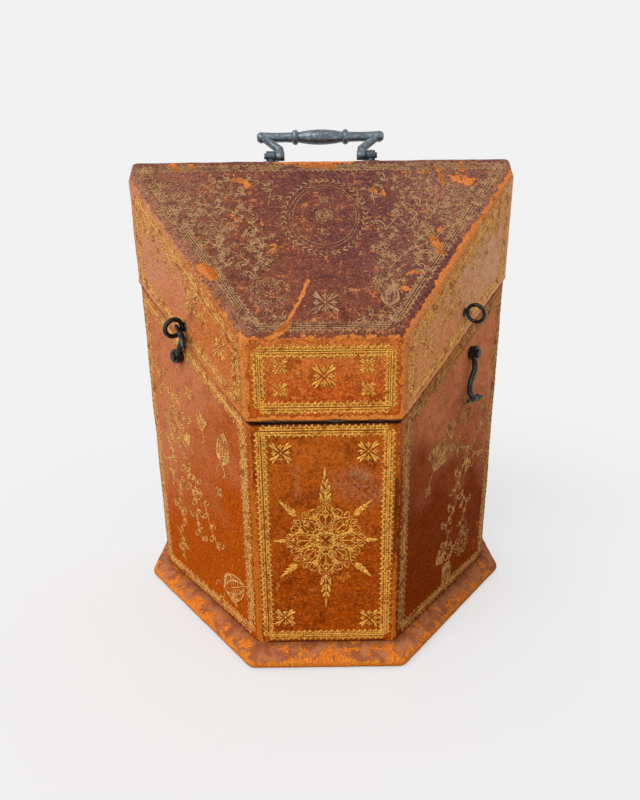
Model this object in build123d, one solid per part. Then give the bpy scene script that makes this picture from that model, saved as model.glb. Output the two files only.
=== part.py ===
"""Leather-covered silverware chest: canted case, overhead lid, tiered cutlery rack and iron hardware.

Millimetres, +Z up, front towards -Y. The model is built with the body's front face on Y = 0 and is
moved at the end so that the origin lies under the middle of the whole chest.
"""
from build123d import *
from collections import namedtuple
import math
import os

# ---- Case plan -------------------------------------------------------------------------------
BACK_WIDTH = 300.0           # outer width across the two short returns
BODY_FRONT_WIDTH = 103.0     # outer width of the body's front face
CANT_DEPTH = 115.0           # front face to the corner between canted side and return
CASE_DEPTH = 160.0           # front face to back face
WALL = 8.0                   # pine boards of body and lid
BOTTOM_THICKNESS = 10.0
LEATHER = 1.2                # leather covering
LINING = 0.8                 # velvet lining
CORNER_ROUND = 3.0           # outside rounding of the body's upright leather corners

# ---- Heights ---------------------------------------------------------------------------------
SEAM_FRONT_Z = 193.0         # the cut between body and lid, at the front face
SEAM_ANGLE = 35.6            # the cut rises towards the back
SEAM_GAP = 0.4
LID_FRONT_Z = 251.0          # front edge of the lid's slope
LID_TOP_Z = 369.0
TOP_STRIP = 34.5             # depth of the level strip along the back that carries the handle

# ---- Lid plan --------------------------------------------------------------------------------
LID_OVERHANG = 1.5           # the lid stands proud of the body at the front and the sides
LID_FRONT_SPREAD = 2.0       # its front corners stand this far outside the body's, each side
LID_ROUND = 5.0              # outside rounding of the lid's leather edges

# ---- Foot moulding ---------------------------------------------------------------------------
PLINTH_HEIGHT = 14.0
PLINTH_FLARE = 14.4
PLINTH_NOSE_RADIUS = 5.2

# ---- Cutlery rack ----------------------------------------------------------------------------
BOARD_FIT = 0.2              # play of the rack's boards between the walls
TIER_THICKNESS = 6.0
PARTITION_THICKNESS = 5.0
FRONT_TIER_Z = 186.0         # upper faces of the three tiers
MIDDLE_TIER_Z = 214.0
REAR_TIER_Z = 246.0
LOWER_PARTITION_Y = 50.0     # front faces of the two partitions
UPPER_PARTITION_Y = 95.0
BATTEN = 8.0
SPOON_SLOT = (18.0, 20.0)    # across and front to back
FORK_SLOT = (14.0, 24.0)
KNIFE_SLOT = (12.0, 32.0)
SPOON_PITCH = 25.0
FORK_PITCH = 28.0
KNIFE_PITCH = 30.0
SPOON_COUNT = 4
FORK_COUNT = 6
KNIFE_COUNT = 8
VELVET_PLAY = 0.2            # between the rack's velvet and the lining

# ---- Hinges ----------------------------------------------------------------------------------
HINGE_SPREAD = 170.0         # between the middles of the two hinges
HINGE_LENGTH = 50.0
LEAF_HEIGHT = 22.0
LEAF_THICKNESS = 1.2
KNUCKLE_RADIUS = 3.0
KNUCKLE_STANDOFF = 0.3       # knuckle to the back leather
KNUCKLE_SIDE_GAP = 0.3
MIDDLE_KNUCKLE = 17.0
LEAF_RELIEF = 0.4            # room round the other leaf's knuckles
PIN_RADIUS = 1.2
RUNNING_CLEARANCE = 0.05     # radial, for every pin and shank in its hole
PIN_HEAD_RADIUS = 2.0
PIN_HEAD_THICKNESS = 0.8
SCREW_RADIUS = 1.2
SCREW_LENGTH = 8.5
SCREW_HEAD_RADIUS = 2.4
SCREW_HEAD_HEIGHT = 1.2
HEAD_ROUNDING = 0.6          # rounding of screw and pivot heads, as a share of their height
SCREW_PITCH = 17.0
SCREW_EDGE = 8.0             # screw row to the leaf's long edge

# ---- Latches: a hook on the body and an eye on the lid, on each canted side ---------------------
LEFT_PIVOT = (91.0, 224.8)   # along the canted side from its front corner, and height
LEFT_EYE = (77.6, 249.2)
RIGHT_PIVOT = (99.6, 222.9)
RIGHT_EYE = (81.6, 256.8)
EYE_STANDOFF = 10.7          # eye centre to the body's canted face
EYE_RADIUS = 6.6             # to the middle of the wire
EYE_WIRE_RADIUS = 1.4
EYE_TILT = 14.0              # turn of the eye about the wall's normal
EYE_COLLAR_RADIUS = 3.4
EYE_COLLAR_THICKNESS = 0.8
SHANK_DEPTH = 6.5            # eye stems and pivot pins in the boards, below the leather face
LEFT_REACH = 27.0            # pivot to the nose's axis
RIGHT_REACH = 35.0
LEFT_JOG = 0.0               # sideways set of the shank towards the nose
RIGHT_JOG = 7.0
SHANK_RADIUS = 2.0
SHANK_BEND_RADIUS = 4.5
SHANK_STANDOFF = 4.7         # shank's axis to the body's canted face
SHANK_RISE = 5.0             # the shank's last stretch, where it rises to the nose
NOSE_STANDOFF = 7.9
NOSE_LENGTH = 9.2
NOSE_RADIUS = 1.3
NOSE_SETBACK = 6.8           # shank's axis to the eye's centre when hooked
HOOK_KNUCKLE_RADIUS = 2.3
TAB_LENGTH = 12.5
TAB_ROOT_WIDTH = 3.0
TAB_WIDTH = 5.2
TAB_WIDEST_AT = 0.45         # share of the tab's length
TAB_THICKNESS = 1.6
TAB_RISE = 2.5               # the thumb tab stands out from the wall
JOG_START = 0.35             # where a set shank bends, as shares of its reach
JOG_END = 0.65
HUB_RADIUS = 5.4
HUB_THICKNESS = 4.6
PIVOT_RADIUS = 2.0
PIVOT_PLATE_RADIUS = 4.8
PIVOT_PLATE_THICKNESS = 0.8
PIVOT_HEAD_RADIUS = 3.6
PIVOT_HEAD_HEIGHT = 1.6
SIDE_PLAY = 0.3              # axial play at every pivot

# ---- Carrying handle -------------------------------------------------------------------------
BAIL_RADIUS = 23.0           # pivot to the grip's axis
BAIL_LEAN = 45.0             # backwards from upright, as it stands
GRIP_HALF = 53.0
GRIP_SWELL = 6.5
GRIP_COVE = 4.1
GRIP_NECK = 3.8
GRIP_END = 4.6
BEAD_PLACE = 21.0
BEAD_RADIUS = 6.5
BEAD_HALF_WIDTH = 2.5
ARM_TOP_PLACE = 48.5
ARM_RADIUS = 3.0
ARM_RISE = 6.5               # the arms stand up straight this far before they flare
ARM_BEND_RADIUS = 4.0
POST_SPREAD = 82.0
POST_WIDTH = 7.0
POST_EYE_RADIUS = 4.0
POST_PIVOT_HEIGHT = 5.6      # above the lid's top leather
POST_FLANGE_RADIUS = 7.0
POST_FLANGE_THICKNESS = 1.4
POST_NECK_RADIUS = 3.2
STUD_RADIUS = 2.0
STUD_SPARE = 1.5             # stud past its nut
BOSS_RADIUS = 3.6
BOSS_WIDTH = 7.4
BAIL_PIN_RADIUS = 1.5
BAIL_PIN_HEAD_RADIUS = 2.3
BAIL_PIN_HEAD = 1.5
NUT_WIDTH = 7.5
NUT_THICKNESS = 2.5
WASHER_RADIUS = 5.0
WASHER_THICKNESS = 0.8

# ---- Worked out from the driving sizes -------------------------------------------------------
BOARD_FACE = LEATHER                      # insets from the outside, wall by wall
INNER_FACE = LEATHER + WALL
LINED_FACE = INNER_FACE + LINING
SEAM_SLOPE = math.tan(math.radians(SEAM_ANGLE))
RIDGE_Y = CASE_DEPTH - TOP_STRIP
LID_SLOPE = (LID_TOP_Z - LID_FRONT_Z) / (RIDGE_Y + LID_OVERHANG)
SLOPE_ANGLE = math.degrees(math.atan(LID_SLOPE))
SLOPE_COSINE = math.cos(math.radians(SLOPE_ANGLE))
HINGE_Y = CASE_DEPTH + KNUCKLE_STANDOFF + KNUCKLE_RADIUS
HINGE_Z = SEAM_FRONT_Z + CASE_DEPTH * SEAM_SLOPE
POST_Y = (RIDGE_Y + CASE_DEPTH) / 2
BAIL_PIVOT_Z = LID_TOP_Z + POST_PIVOT_HEIGHT
BAIL_BACK = POST_Y + BAIL_RADIUS * math.sin(math.radians(BAIL_LEAN)) + GRIP_SWELL
BACK_REACH = max(HINGE_Y + KNUCKLE_RADIUS, BAIL_BACK)
CENTRE_Y = (BACK_REACH - PLINTH_FLARE) / 2
TALL = LID_TOP_Z * 2                      # cutting solids reach past the case
WIDE = BACK_WIDTH * 2
MITRE_OUT = PLINTH_FLARE * 2              # how far the mitre cuts run outside and inside the outline
MITRE_IN = LINED_FACE * 1.4
BELOW_SEAM = SEAM_FRONT_Z / 2             # where the lid's shape starts before the seam trims it

BODY_PLAN = (BODY_FRONT_WIDTH / 2, BACK_WIDTH / 2, 0.0)
LID_PLAN = (BODY_FRONT_WIDTH / 2 + LID_FRONT_SPREAD, BACK_WIDTH / 2 + LID_OVERHANG, -LID_OVERHANG)
FRONT_LEFT, FRONT_RIGHT, SIDE_RIGHT, BACK_RIGHT, BACK_LEFT, SIDE_LEFT = range(6)
BAYS = {
    "front": (FRONT_LEFT, FRONT_RIGHT),
    "right_canted": (FRONT_RIGHT, SIDE_RIGHT),
    "right_return": (SIDE_RIGHT, BACK_RIGHT),
    "back": (BACK_RIGHT, BACK_LEFT),
    "left_return": (BACK_LEFT, SIDE_LEFT),
    "left_canted": (SIDE_LEFT, FRONT_LEFT),
}
SKINS = {
    "front": (FRONT_LEFT, FRONT_RIGHT),
    "right": (FRONT_RIGHT, SIDE_RIGHT, BACK_RIGHT),
    "back": (BACK_RIGHT, BACK_LEFT),
    "left": (BACK_LEFT, SIDE_LEFT, FRONT_LEFT),
}

nodes = {}


# ---- Plan outlines and cutting planes --------------------------------------------------------
def outline(plan, inset):
    """The six corners of the plan, moved inwards by inset."""
    front_half, side_half, front_y = plan
    turn = math.atan2(CANT_DEPTH - front_y, side_half - front_half)
    front_x = front_half - inset * math.tan(turn / 2)
    side_x = side_half - inset
    side_y = CANT_DEPTH + inset * math.tan((math.pi / 2 - turn) / 2)
    back_y = CASE_DEPTH - inset
    return [
        (-front_x, front_y + inset),
        (front_x, front_y + inset),
        (side_x, side_y),
        (side_x, back_y),
        (-side_x, back_y),
        (-side_x, side_y),
    ]


def prism(points, low, high):
    """An upright prism over a plan polygon."""
    return extrude(Plane.XY.offset(low) * Polygon(*points, align=None), high - low)


def plan_prism(plan, inset, low=0.0, high=TALL):
    """An upright prism over the case's plan."""
    return prism(outline(plan, inset), low, high)


def bay(plan, corners):
    """The room between the mitre cuts at the ends of one or more neighbouring walls."""
    outer = outline(plan, -MITRE_OUT)
    inner = outline(plan, MITRE_IN)
    points = [outer[i] for i in corners] + [inner[i] for i in reversed(corners)]
    return prism(points, 0.0, TALL)


def block(x_range, y_range, z_range):
    """A box between stated limits."""
    size = [high - low for low, high in (x_range, y_range, z_range)]
    centre = [(high + low) / 2 for low, high in (x_range, y_range, z_range)]
    return Pos(*centre) * Box(*size)


def tilted_plane(front_y, front_z, angle, inset):
    """A plane that rises backwards from a point on the front, moved down its normal by inset."""
    radians = math.radians(angle)
    normal = Vector(0, -math.sin(radians), math.cos(radians))
    return Plane(origin=Vector(0, front_y, front_z) - normal * inset, x_dir=(1, 0, 0), z_dir=normal)


def seam_plane(lift=0.0):
    return tilted_plane(0.0, SEAM_FRONT_Z, SEAM_ANGLE, -lift)


def slope_plane(inset):
    return tilted_plane(-LID_OVERHANG, LID_FRONT_Z, SLOPE_ANGLE, inset)


def top_plane(inset):
    return Plane.XY.offset(LID_TOP_Z - inset)


def ridge_y(inset):
    """Where the slope meets the level top, for surfaces moved inwards by inset."""
    return RIDGE_Y + (inset / SLOPE_COSINE - inset) / LID_SLOPE


def above(solid, plane):
    return split(solid, bisect_by=plane, keep=Keep.TOP)


def below(solid, plane):
    return split(solid, bisect_by=plane, keep=Keep.BOTTOM)


def under_lid_faces(solid, inset):
    """What lies under the lid's slope and level top, both moved inwards by inset."""
    return below(below(solid, slope_plane(inset)), top_plane(inset))


# ---- Where the hardware goes -----------------------------------------------------------------
def canted_plane():
    """The body's right canted face: x along it from the front corner, y up, z outwards."""
    corners = outline(BODY_PLAN, 0.0)
    start = Vector(*corners[FRONT_RIGHT])
    along = (Vector(*corners[SIDE_RIGHT]) - start).normalized()
    return Plane(origin=start, x_dir=along, z_dir=along.cross(Vector(0, 0, 1)))


def lid_canted_normal():
    corners = outline(LID_PLAN, 0.0)
    along = (Vector(*corners[SIDE_RIGHT]) - Vector(*corners[FRONT_RIGHT])).normalized()
    return along.cross(Vector(0, 0, 1))


def eye_centre(place):
    return canted_plane().from_local_coords(Vector(place[0], place[1], EYE_STANDOFF))


def eye_wall_distance(place):
    """From the eye's centre to the lid's canted face."""
    corner = Vector(*outline(LID_PLAN, 0.0)[FRONT_RIGHT])
    return (eye_centre(place) - corner).dot(lid_canted_normal())


def both_hands(solid):
    """A right-hand solid and its mirror image."""
    return [solid, mirror(solid, about=Plane.YZ)]


def handed(solid, side):
    return solid if side == "right" else mirror(solid, about=Plane.YZ)


def rod(start, direction, length, radius):
    """A round bar from a point along a direction."""
    return Plane(origin=start, z_dir=direction) * extrude(Circle(radius), length)


def eye_shank(place, radius):
    """The part of an eye that runs from its ring into the lid."""
    direction = -lid_canted_normal()
    start = eye_centre(place) + direction * EYE_RADIUS
    return rod(start, direction, eye_wall_distance(place) - EYE_RADIUS + SHANK_DEPTH, radius)


def pivot_shank(place, radius):
    """The pin that a hook turns on, from inside the board to under its head."""
    wall = canted_plane()
    start = wall.from_local_coords(Vector(place[0], place[1], -SHANK_DEPTH))
    return rod(start, wall.z_dir, SHANK_DEPTH + hub_top() + SIDE_PLAY, radius)


def hub_bottom():
    return PIVOT_PLATE_THICKNESS + SIDE_PLAY


def hub_top():
    return hub_bottom() + HUB_THICKNESS


def stud(radius):
    """The right handle post's stud, from the lid's top face down past its nut."""
    depth = LINED_FACE + WASHER_THICKNESS + NUT_THICKNESS + STUD_SPARE
    return rod((POST_SPREAD / 2, POST_Y, LID_TOP_Z), (0, 0, -1), depth, radius)


def hinge_screw_places(direction):
    """Screw centres on the leaf above (1) or below (-1) the hinge line, both hinges."""
    height = HINGE_Z + direction * (LEAF_HEIGHT - SCREW_EDGE)
    middles = (-HINGE_SPREAD / 2, HINGE_SPREAD / 2)
    return [(middle + step * SCREW_PITCH, height) for middle in middles for step in (-1, 0, 1)]


def hinge_screw_shanks(direction, radius):
    start_y = CASE_DEPTH + LEAF_THICKNESS
    return [
        rod((x, start_y, z), (0, -1, 0), SCREW_LENGTH, radius)
        for x, z in hinge_screw_places(direction)
    ]


def holes_for(side, on_lid):
    """The clearance hole of one side's pivot pin or eye stem."""
    if on_lid:
        place = RIGHT_EYE if side == "right" else LEFT_EYE
        return handed(eye_shank(place, EYE_WIRE_RADIUS + RUNNING_CLEARANCE), side)
    place = RIGHT_PIVOT if side == "right" else LEFT_PIVOT
    return handed(pivot_shank(place, PIVOT_RADIUS + RUNNING_CLEARANCE), side)


def drilled(solid, holes):
    for hole in holes:
        solid -= hole
    return solid


# ---- Body ------------------------------------------------------------------------------------
def make_body_carcase():
    ring = plan_prism(BODY_PLAN, BOARD_FACE) - plan_prism(BODY_PLAN, INNER_FACE)
    ring = below(ring, seam_plane())
    holes = {
        "right_canted": [holes_for("right", False)],
        "left_canted": [holes_for("left", False)],
        "back": hinge_screw_shanks(-1, SCREW_RADIUS + RUNNING_CLEARANCE),
    }
    for name, corners in BAYS.items():
        nodes[f"{name}_board"] = drilled(ring & bay(BODY_PLAN, corners), holes.get(name, []))
    nodes["bottom_board"] = plan_prism(BODY_PLAN, INNER_FACE, 0.0, BOTTOM_THICKNESS)


def make_body_leather():
    outside = plan_prism(BODY_PLAN, 0.0)
    outside = fillet(outside.edges().filter_by(Axis.Z), CORNER_ROUND)
    skin = below(outside - plan_prism(BODY_PLAN, BOARD_FACE), seam_plane())
    holes = {
        "right": [holes_for("right", False)],
        "left": [holes_for("left", False)],
        "back": hinge_screw_shanks(-1, SCREW_RADIUS + RUNNING_CLEARANCE),
    }
    for name, corners in SKINS.items():
        nodes[f"body_leather_{name}"] = drilled(skin & bay(BODY_PLAN, corners), holes.get(name, []))


def plinth_section():
    """Outward distance against height: a sloping top that runs into a round nose."""
    nose_centre = Vector(PLINTH_FLARE - PLINTH_NOSE_RADIUS, PLINTH_NOSE_RADIUS)
    top = Vector(0, PLINTH_HEIGHT) - nose_centre
    touch = math.atan2(top.Y, top.X) - math.acos(PLINTH_NOSE_RADIUS / top.length)
    touch_point = nose_centre + Vector(math.cos(touch), math.sin(touch)) * PLINTH_NOSE_RADIUS
    nose = ThreePointArc(
        (nose_centre.X, 0), (PLINTH_FLARE, PLINTH_NOSE_RADIUS), (touch_point.X, touch_point.Y)
    )
    rest = Polyline((touch_point.X, touch_point.Y), (0, PLINTH_HEIGHT), (0, 0), (nose_centre.X, 0))
    return make_face([nose, rest])


def make_plinth():
    section = plinth_section()
    corners = outline(BODY_PLAN, 0.0)
    for name, (first, last) in BAYS.items():
        if name == "back":
            continue
        start = Vector(*corners[first])
        finish = Vector(*corners[last])
        outward = (finish - start).normalized().cross(Vector(0, 0, 1))
        middle = (start + finish) * 0.5
        frame = Plane(origin=middle, x_dir=outward, z_dir=outward.cross(Vector(0, 0, 1)))
        reach = (finish - start).length / 2 + MITRE_OUT
        run = extrude(frame * section, reach, both=True) & bay(BODY_PLAN, (first, last))
        run &= block((-WIDE, WIDE), (-WIDE, CASE_DEPTH), (0, PLINTH_HEIGHT))
        nodes[f"plinth_{name}"] = run


# ---- Cutlery rack ----------------------------------------------------------------------------
Tier = namedtuple("Tier", "name front back upper_face slot_count slot_pitch slot_size slot_y")


def tiers():
    """The three tiers from front to back, each with its row of slots."""
    front = INNER_FACE + BOARD_FIT
    rear = CASE_DEPTH - INNER_FACE - BOARD_FIT
    spoon_y = (front + LOWER_PARTITION_Y) / 2
    fork_y = (LOWER_PARTITION_Y + PARTITION_THICKNESS + UPPER_PARTITION_Y - BATTEN) / 2
    knife_y = (UPPER_PARTITION_Y + PARTITION_THICKNESS + rear - BATTEN) / 2
    return [
        Tier("front", front, LOWER_PARTITION_Y, FRONT_TIER_Z, SPOON_COUNT, SPOON_PITCH, SPOON_SLOT, spoon_y),
        Tier("middle", LOWER_PARTITION_Y, UPPER_PARTITION_Y, MIDDLE_TIER_Z, FORK_COUNT, FORK_PITCH,
             FORK_SLOT, fork_y),
        Tier("rear", UPPER_PARTITION_Y, rear, REAR_TIER_Z, KNIFE_COUNT, KNIFE_PITCH, KNIFE_SLOT, knife_y),
    ]


def tier_slots(tier):
    """A tier's row of rectangular slots, through its board and velvet."""
    width, depth = tier.slot_size
    y_range = (tier.slot_y - depth / 2, tier.slot_y + depth / 2)
    z_range = (tier.upper_face - 2 * TIER_THICKNESS, tier.upper_face + TIER_THICKNESS)
    first = -(tier.slot_count - 1) / 2 * tier.slot_pitch
    middles = [first + i * tier.slot_pitch for i in range(tier.slot_count)]
    return [block((x - width / 2, x + width / 2), y_range, z_range) for x in middles]


def inside_boards(y_range, z_range, inset=INNER_FACE + BOARD_FIT):
    """A board that fills the inside of the body between stated limits."""
    return plan_prism(BODY_PLAN, inset, *z_range) & block((-WIDE, WIDE), y_range, z_range)


def make_rack_boards():
    for tier in tiers():
        board = inside_boards((tier.front, tier.back), (tier.upper_face - TIER_THICKNESS, tier.upper_face))
        nodes[f"{tier.name}_tier_board"] = drilled(board, tier_slots(tier))
    partitions = {
        "lower_partition": (LOWER_PARTITION_Y, MIDDLE_TIER_Z),
        "upper_partition": (UPPER_PARTITION_Y, REAR_TIER_Z),
    }
    for name, (front, tier_above) in partitions.items():
        y_range = (front, front + PARTITION_THICKNESS)
        nodes[name] = inside_boards(y_range, (BOTTOM_THICKNESS, tier_above - TIER_THICKNESS))


def make_tier_battens():
    """Ledges glued to the front board, the partitions and the back board."""
    front = INNER_FACE
    rear = CASE_DEPTH - INNER_FACE
    ledges = [
        ((front, front + BATTEN), FRONT_TIER_Z),
        ((LOWER_PARTITION_Y - BATTEN, LOWER_PARTITION_Y), FRONT_TIER_Z),
        ((UPPER_PARTITION_Y - BATTEN, UPPER_PARTITION_Y), MIDDLE_TIER_Z),
        ((rear - BATTEN, rear), REAR_TIER_Z),
    ]
    battens = []
    for y_range, upper_face in ledges:
        under = upper_face - TIER_THICKNESS
        battens.append(inside_boards(y_range, (under - BATTEN, under), INNER_FACE))
    nodes["tier_battens"] = Compound(children=battens)


def make_rack_velvet():
    """One velvet cover that runs over the tiers and down the risers between them."""
    strips = []
    riser_foot = None
    for tier in tiers():
        z_range = (tier.upper_face, tier.upper_face + LINING)
        start = tier.front
        if riser_foot is not None:
            start -= LINING
            strips.append(block((-WIDE, WIDE), (start, tier.front), (riser_foot, tier.upper_face + LINING)))
        strips.append(block((-WIDE, WIDE), (start, tier.back), z_range))
        riser_foot = tier.upper_face
    cover = strips[0].fuse(*strips[1:]) & plan_prism(BODY_PLAN, LINED_FACE + VELVET_PLAY)
    for tier in tiers():
        cover = drilled(cover, tier_slots(tier))
    nodes["rack_velvet"] = cover


def make_body_lining():
    """Velvet on the walls above the tiers."""
    ring = plan_prism(BODY_PLAN, INNER_FACE) - plan_prism(BODY_PLAN, LINED_FACE)
    ring = below(ring, seam_plane())
    for tier in tiers():
        start = -WIDE if tier.name == "front" else tier.front
        finish = WIDE if tier.name == "rear" else tier.back
        ring -= block((-WIDE, WIDE), (start, finish), (0.0, tier.upper_face))
    nodes["body_lining"] = ring


# ---- Lid -------------------------------------------------------------------------------------
def lid_shape(inset, rounding):
    """The lid as a full solid, moved inwards by inset and rounded, down to below the seam."""
    shape = under_lid_faces(plan_prism(LID_PLAN, inset, BELOW_SEAM, TALL), inset)
    if rounding > 0:
        lower_edges = shape.faces().sort_by(Axis.Z)[0].edges()
        shape = fillet([edge for edge in shape.edges() if edge not in lower_edges], rounding)
    return shape


def above_seam(solid):
    return above(solid, seam_plane(SEAM_GAP))


def ridge_mitre():
    """The joint between the slope board and the top board, facing backwards."""
    outer = Vector(0, ridge_y(BOARD_FACE), LID_TOP_Z - BOARD_FACE)
    inner = Vector(0, ridge_y(INNER_FACE), LID_TOP_Z - INNER_FACE)
    return Plane(origin=outer, x_dir=(1, 0, 0), z_dir=Vector(1, 0, 0).cross((inner - outer).normalized()))


def make_lid_carcase():
    shape = above_seam(lid_shape(BOARD_FACE, LID_ROUND - LEATHER))
    cavity = plan_prism(LID_PLAN, INNER_FACE)
    ring = under_lid_faces(shape, INNER_FACE) - cavity
    holes = {
        "right_canted": [holes_for("right", True)],
        "left_canted": [holes_for("left", True)],
        "back": hinge_screw_shanks(1, SCREW_RADIUS + RUNNING_CLEARANCE),
    }
    for name, corners in BAYS.items():
        nodes[f"lid_{name}_board"] = drilled(ring & bay(LID_PLAN, corners), holes.get(name, []))
    nodes["lid_slope_board"] = below(above(shape, slope_plane(INNER_FACE)), ridge_mitre())
    top = above(above(shape, top_plane(INNER_FACE)), ridge_mitre())
    stud_holes = both_hands(stud(STUD_RADIUS + RUNNING_CLEARANCE))
    nodes["lid_top_board"] = drilled(top, stud_holes)


def make_lid_leather():
    skin = above_seam(lid_shape(0.0, LID_ROUND) - lid_shape(BOARD_FACE, LID_ROUND - LEATHER))
    room = under_lid_faces(plan_prism(LID_PLAN, -MITRE_OUT), BOARD_FACE)
    holes = {
        "right": [holes_for("right", True)],
        "left": [holes_for("left", True)],
        "back": hinge_screw_shanks(1, SCREW_RADIUS + RUNNING_CLEARANCE),
    }
    sides = skin & room
    for name, corners in SKINS.items():
        nodes[f"lid_leather_{name}"] = drilled(sides & bay(LID_PLAN, corners), holes.get(name, []))
    stud_holes = both_hands(stud(STUD_RADIUS + RUNNING_CLEARANCE))
    nodes["lid_leather_slope"] = drilled(skin - room, stud_holes)


def make_lid_lining():
    outside = under_lid_faces(plan_prism(LID_PLAN, INNER_FACE), INNER_FACE)
    inside = under_lid_faces(plan_prism(LID_PLAN, LINED_FACE), LINED_FACE)
    stud_holes = both_hands(stud(STUD_RADIUS + RUNNING_CLEARANCE))
    nodes["lid_lining"] = drilled(above_seam(outside - inside), stud_holes)


# ---- Hinges ----------------------------------------------------------------------------------
def hinge_barrel(x_range, radius):
    low, high = x_range
    return rod((low, HINGE_Y, HINGE_Z), (1, 0, 0), high - low, radius)


def hinge_leaf(middle, direction):
    """A leaf above (1) or below (-1) the hinge line, with its own knuckles."""
    half = HINGE_LENGTH / 2
    centre_half = MIDDLE_KNUCKLE / 2
    side_start = centre_half + KNUCKLE_SIDE_GAP
    centre = [(middle - centre_half, middle + centre_half)]
    outer = [(middle - half, middle - side_start), (middle + side_start, middle + half)]
    own, others = (centre, outer) if direction > 0 else (outer, centre)
    y_range = (CASE_DEPTH, CASE_DEPTH + LEAF_THICKNESS)
    z_range = sorted((HINGE_Z, HINGE_Z + direction * LEAF_HEIGHT))
    leaf = block((middle - half, middle + half), y_range, z_range)
    for low, high in others:
        room = (low - KNUCKLE_SIDE_GAP, high + KNUCKLE_SIDE_GAP)
        leaf -= hinge_barrel(room, KNUCKLE_RADIUS + LEAF_RELIEF)
    for x_range in own:
        leaf += hinge_barrel(x_range, KNUCKLE_RADIUS)
    leaf -= hinge_barrel((middle - half, middle + half), PIN_RADIUS + RUNNING_CLEARANCE)
    return drilled(leaf, hinge_screw_shanks(direction, SCREW_RADIUS + RUNNING_CLEARANCE))


def hinge_pin(middle):
    """A pin with a head at each end of its hinge."""
    reach = HINGE_LENGTH / 2 + KNUCKLE_SIDE_GAP
    pin = hinge_barrel((middle - reach, middle + reach), PIN_RADIUS)
    for start in (middle - reach - PIN_HEAD_THICKNESS, middle + reach):
        pin += hinge_barrel((start, start + PIN_HEAD_THICKNESS), PIN_HEAD_RADIUS)
    return pin


def hinge_screws(direction):
    """Round-headed screws through the leaves above (1) or below (-1) the hinge line."""
    places = hinge_screw_places(direction)
    shanks = hinge_screw_shanks(direction, SCREW_RADIUS)
    screws = []
    for (x, z), shank in zip(places, shanks):
        seat = (x, CASE_DEPTH + LEAF_THICKNESS, z)
        head = rod(seat, (0, 1, 0), SCREW_HEAD_HEIGHT, SCREW_HEAD_RADIUS)
        rim = head.edges().filter_by(GeomType.CIRCLE).sort_by(Axis.Y)[-1]
        screws.append(shank + fillet(rim, SCREW_HEAD_HEIGHT * HEAD_ROUNDING))
    return Compound(children=screws)


def make_hinges():
    middles = {"left": -HINGE_SPREAD / 2, "right": HINGE_SPREAD / 2}
    for side, middle in middles.items():
        nodes[f"{side}_hinge_body_leaf"] = hinge_leaf(middle, -1)
        nodes[f"{side}_hinge_lid_leaf"] = hinge_leaf(middle, 1)
    nodes["hinge_pins"] = Compound(children=[hinge_pin(middle) for middle in middles.values()])
    nodes["hinge_body_screws"] = hinge_screws(-1)
    nodes["hinge_lid_screws"] = hinge_screws(1)


# ---- Latches ---------------------------------------------------------------------------------
def make_eye(place):
    """A ring on a stem that is driven into the lid, right hand."""
    centre = eye_centre(place)
    tilt = math.radians(EYE_TILT)
    along = canted_plane().x_dir
    hole_axis = along * math.cos(tilt) + Vector(0, 0, 1) * math.sin(tilt)
    ring = Plane(origin=centre, z_dir=hole_axis) * Torus(EYE_RADIUS, EYE_WIRE_RADIUS)
    inward = -lid_canted_normal()
    wall_point = centre + inward * eye_wall_distance(place)
    collar = rod(wall_point - inward * EYE_COLLAR_THICKNESS, inward, EYE_COLLAR_THICKNESS, EYE_COLLAR_RADIUS)
    return ring + eye_shank(place, EYE_WIRE_RADIUS) + collar


def make_pivot(place):
    """A backplate, pin and head, right hand."""
    wall = canted_plane()
    foot = wall.from_local_coords(Vector(place[0], place[1], 0))
    plate = rod(foot, wall.z_dir, PIVOT_PLATE_THICKNESS, PIVOT_PLATE_RADIUS)
    head_foot = foot + wall.z_dir * (hub_top() + SIDE_PLAY)
    head = rod(head_foot, wall.z_dir, PIVOT_HEAD_HEIGHT, PIVOT_HEAD_RADIUS)
    rim = head.faces().sort_by(Axis(foot, wall.z_dir))[-1].edges()
    head = fillet(rim, PIVOT_HEAD_HEIGHT * HEAD_ROUNDING)
    return plate + pivot_shank(place, PIVOT_RADIUS) + head


def hook_shank(reach, jog):
    """A round bar from the hub to the nose, which rises from the wall at its end."""
    points = [(0, HUB_RADIUS / 2, hub_bottom() + HUB_THICKNESS / 2)]
    if jog > 0:
        points.append((0, reach * JOG_START, SHANK_STANDOFF))
        points.append((jog, reach * JOG_END, SHANK_STANDOFF))
    points.append((jog, reach - SHANK_RISE, SHANK_STANDOFF))
    points.append((jog, reach, NOSE_STANDOFF))
    path = FilletPolyline(*points, radius=SHANK_BEND_RADIUS)
    return sweep(Plane(origin=path @ 0, z_dir=path % 0) * Circle(SHANK_RADIUS), path)


def thumb_tab(root):
    """A leaf-shaped blade from the nose's root, away from the nose and out from the wall."""
    along = Vector(-TAB_LENGTH, 0, TAB_RISE).normalized()
    frame = Plane(origin=root, x_dir=along, z_dir=along.cross(Vector(0, 1, 0)))
    length = math.hypot(TAB_LENGTH, TAB_RISE)
    widest = length * TAB_WIDEST_AT
    edge = [(0, TAB_ROOT_WIDTH / 2), (widest, TAB_WIDTH / 2)]
    leaf = [(x, -y) for x, y in edge] + [(length, 0)] + edge[::-1]
    return extrude(frame * Polygon(*leaf, align=None), TAB_THICKNESS / 2, both=True)


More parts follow.
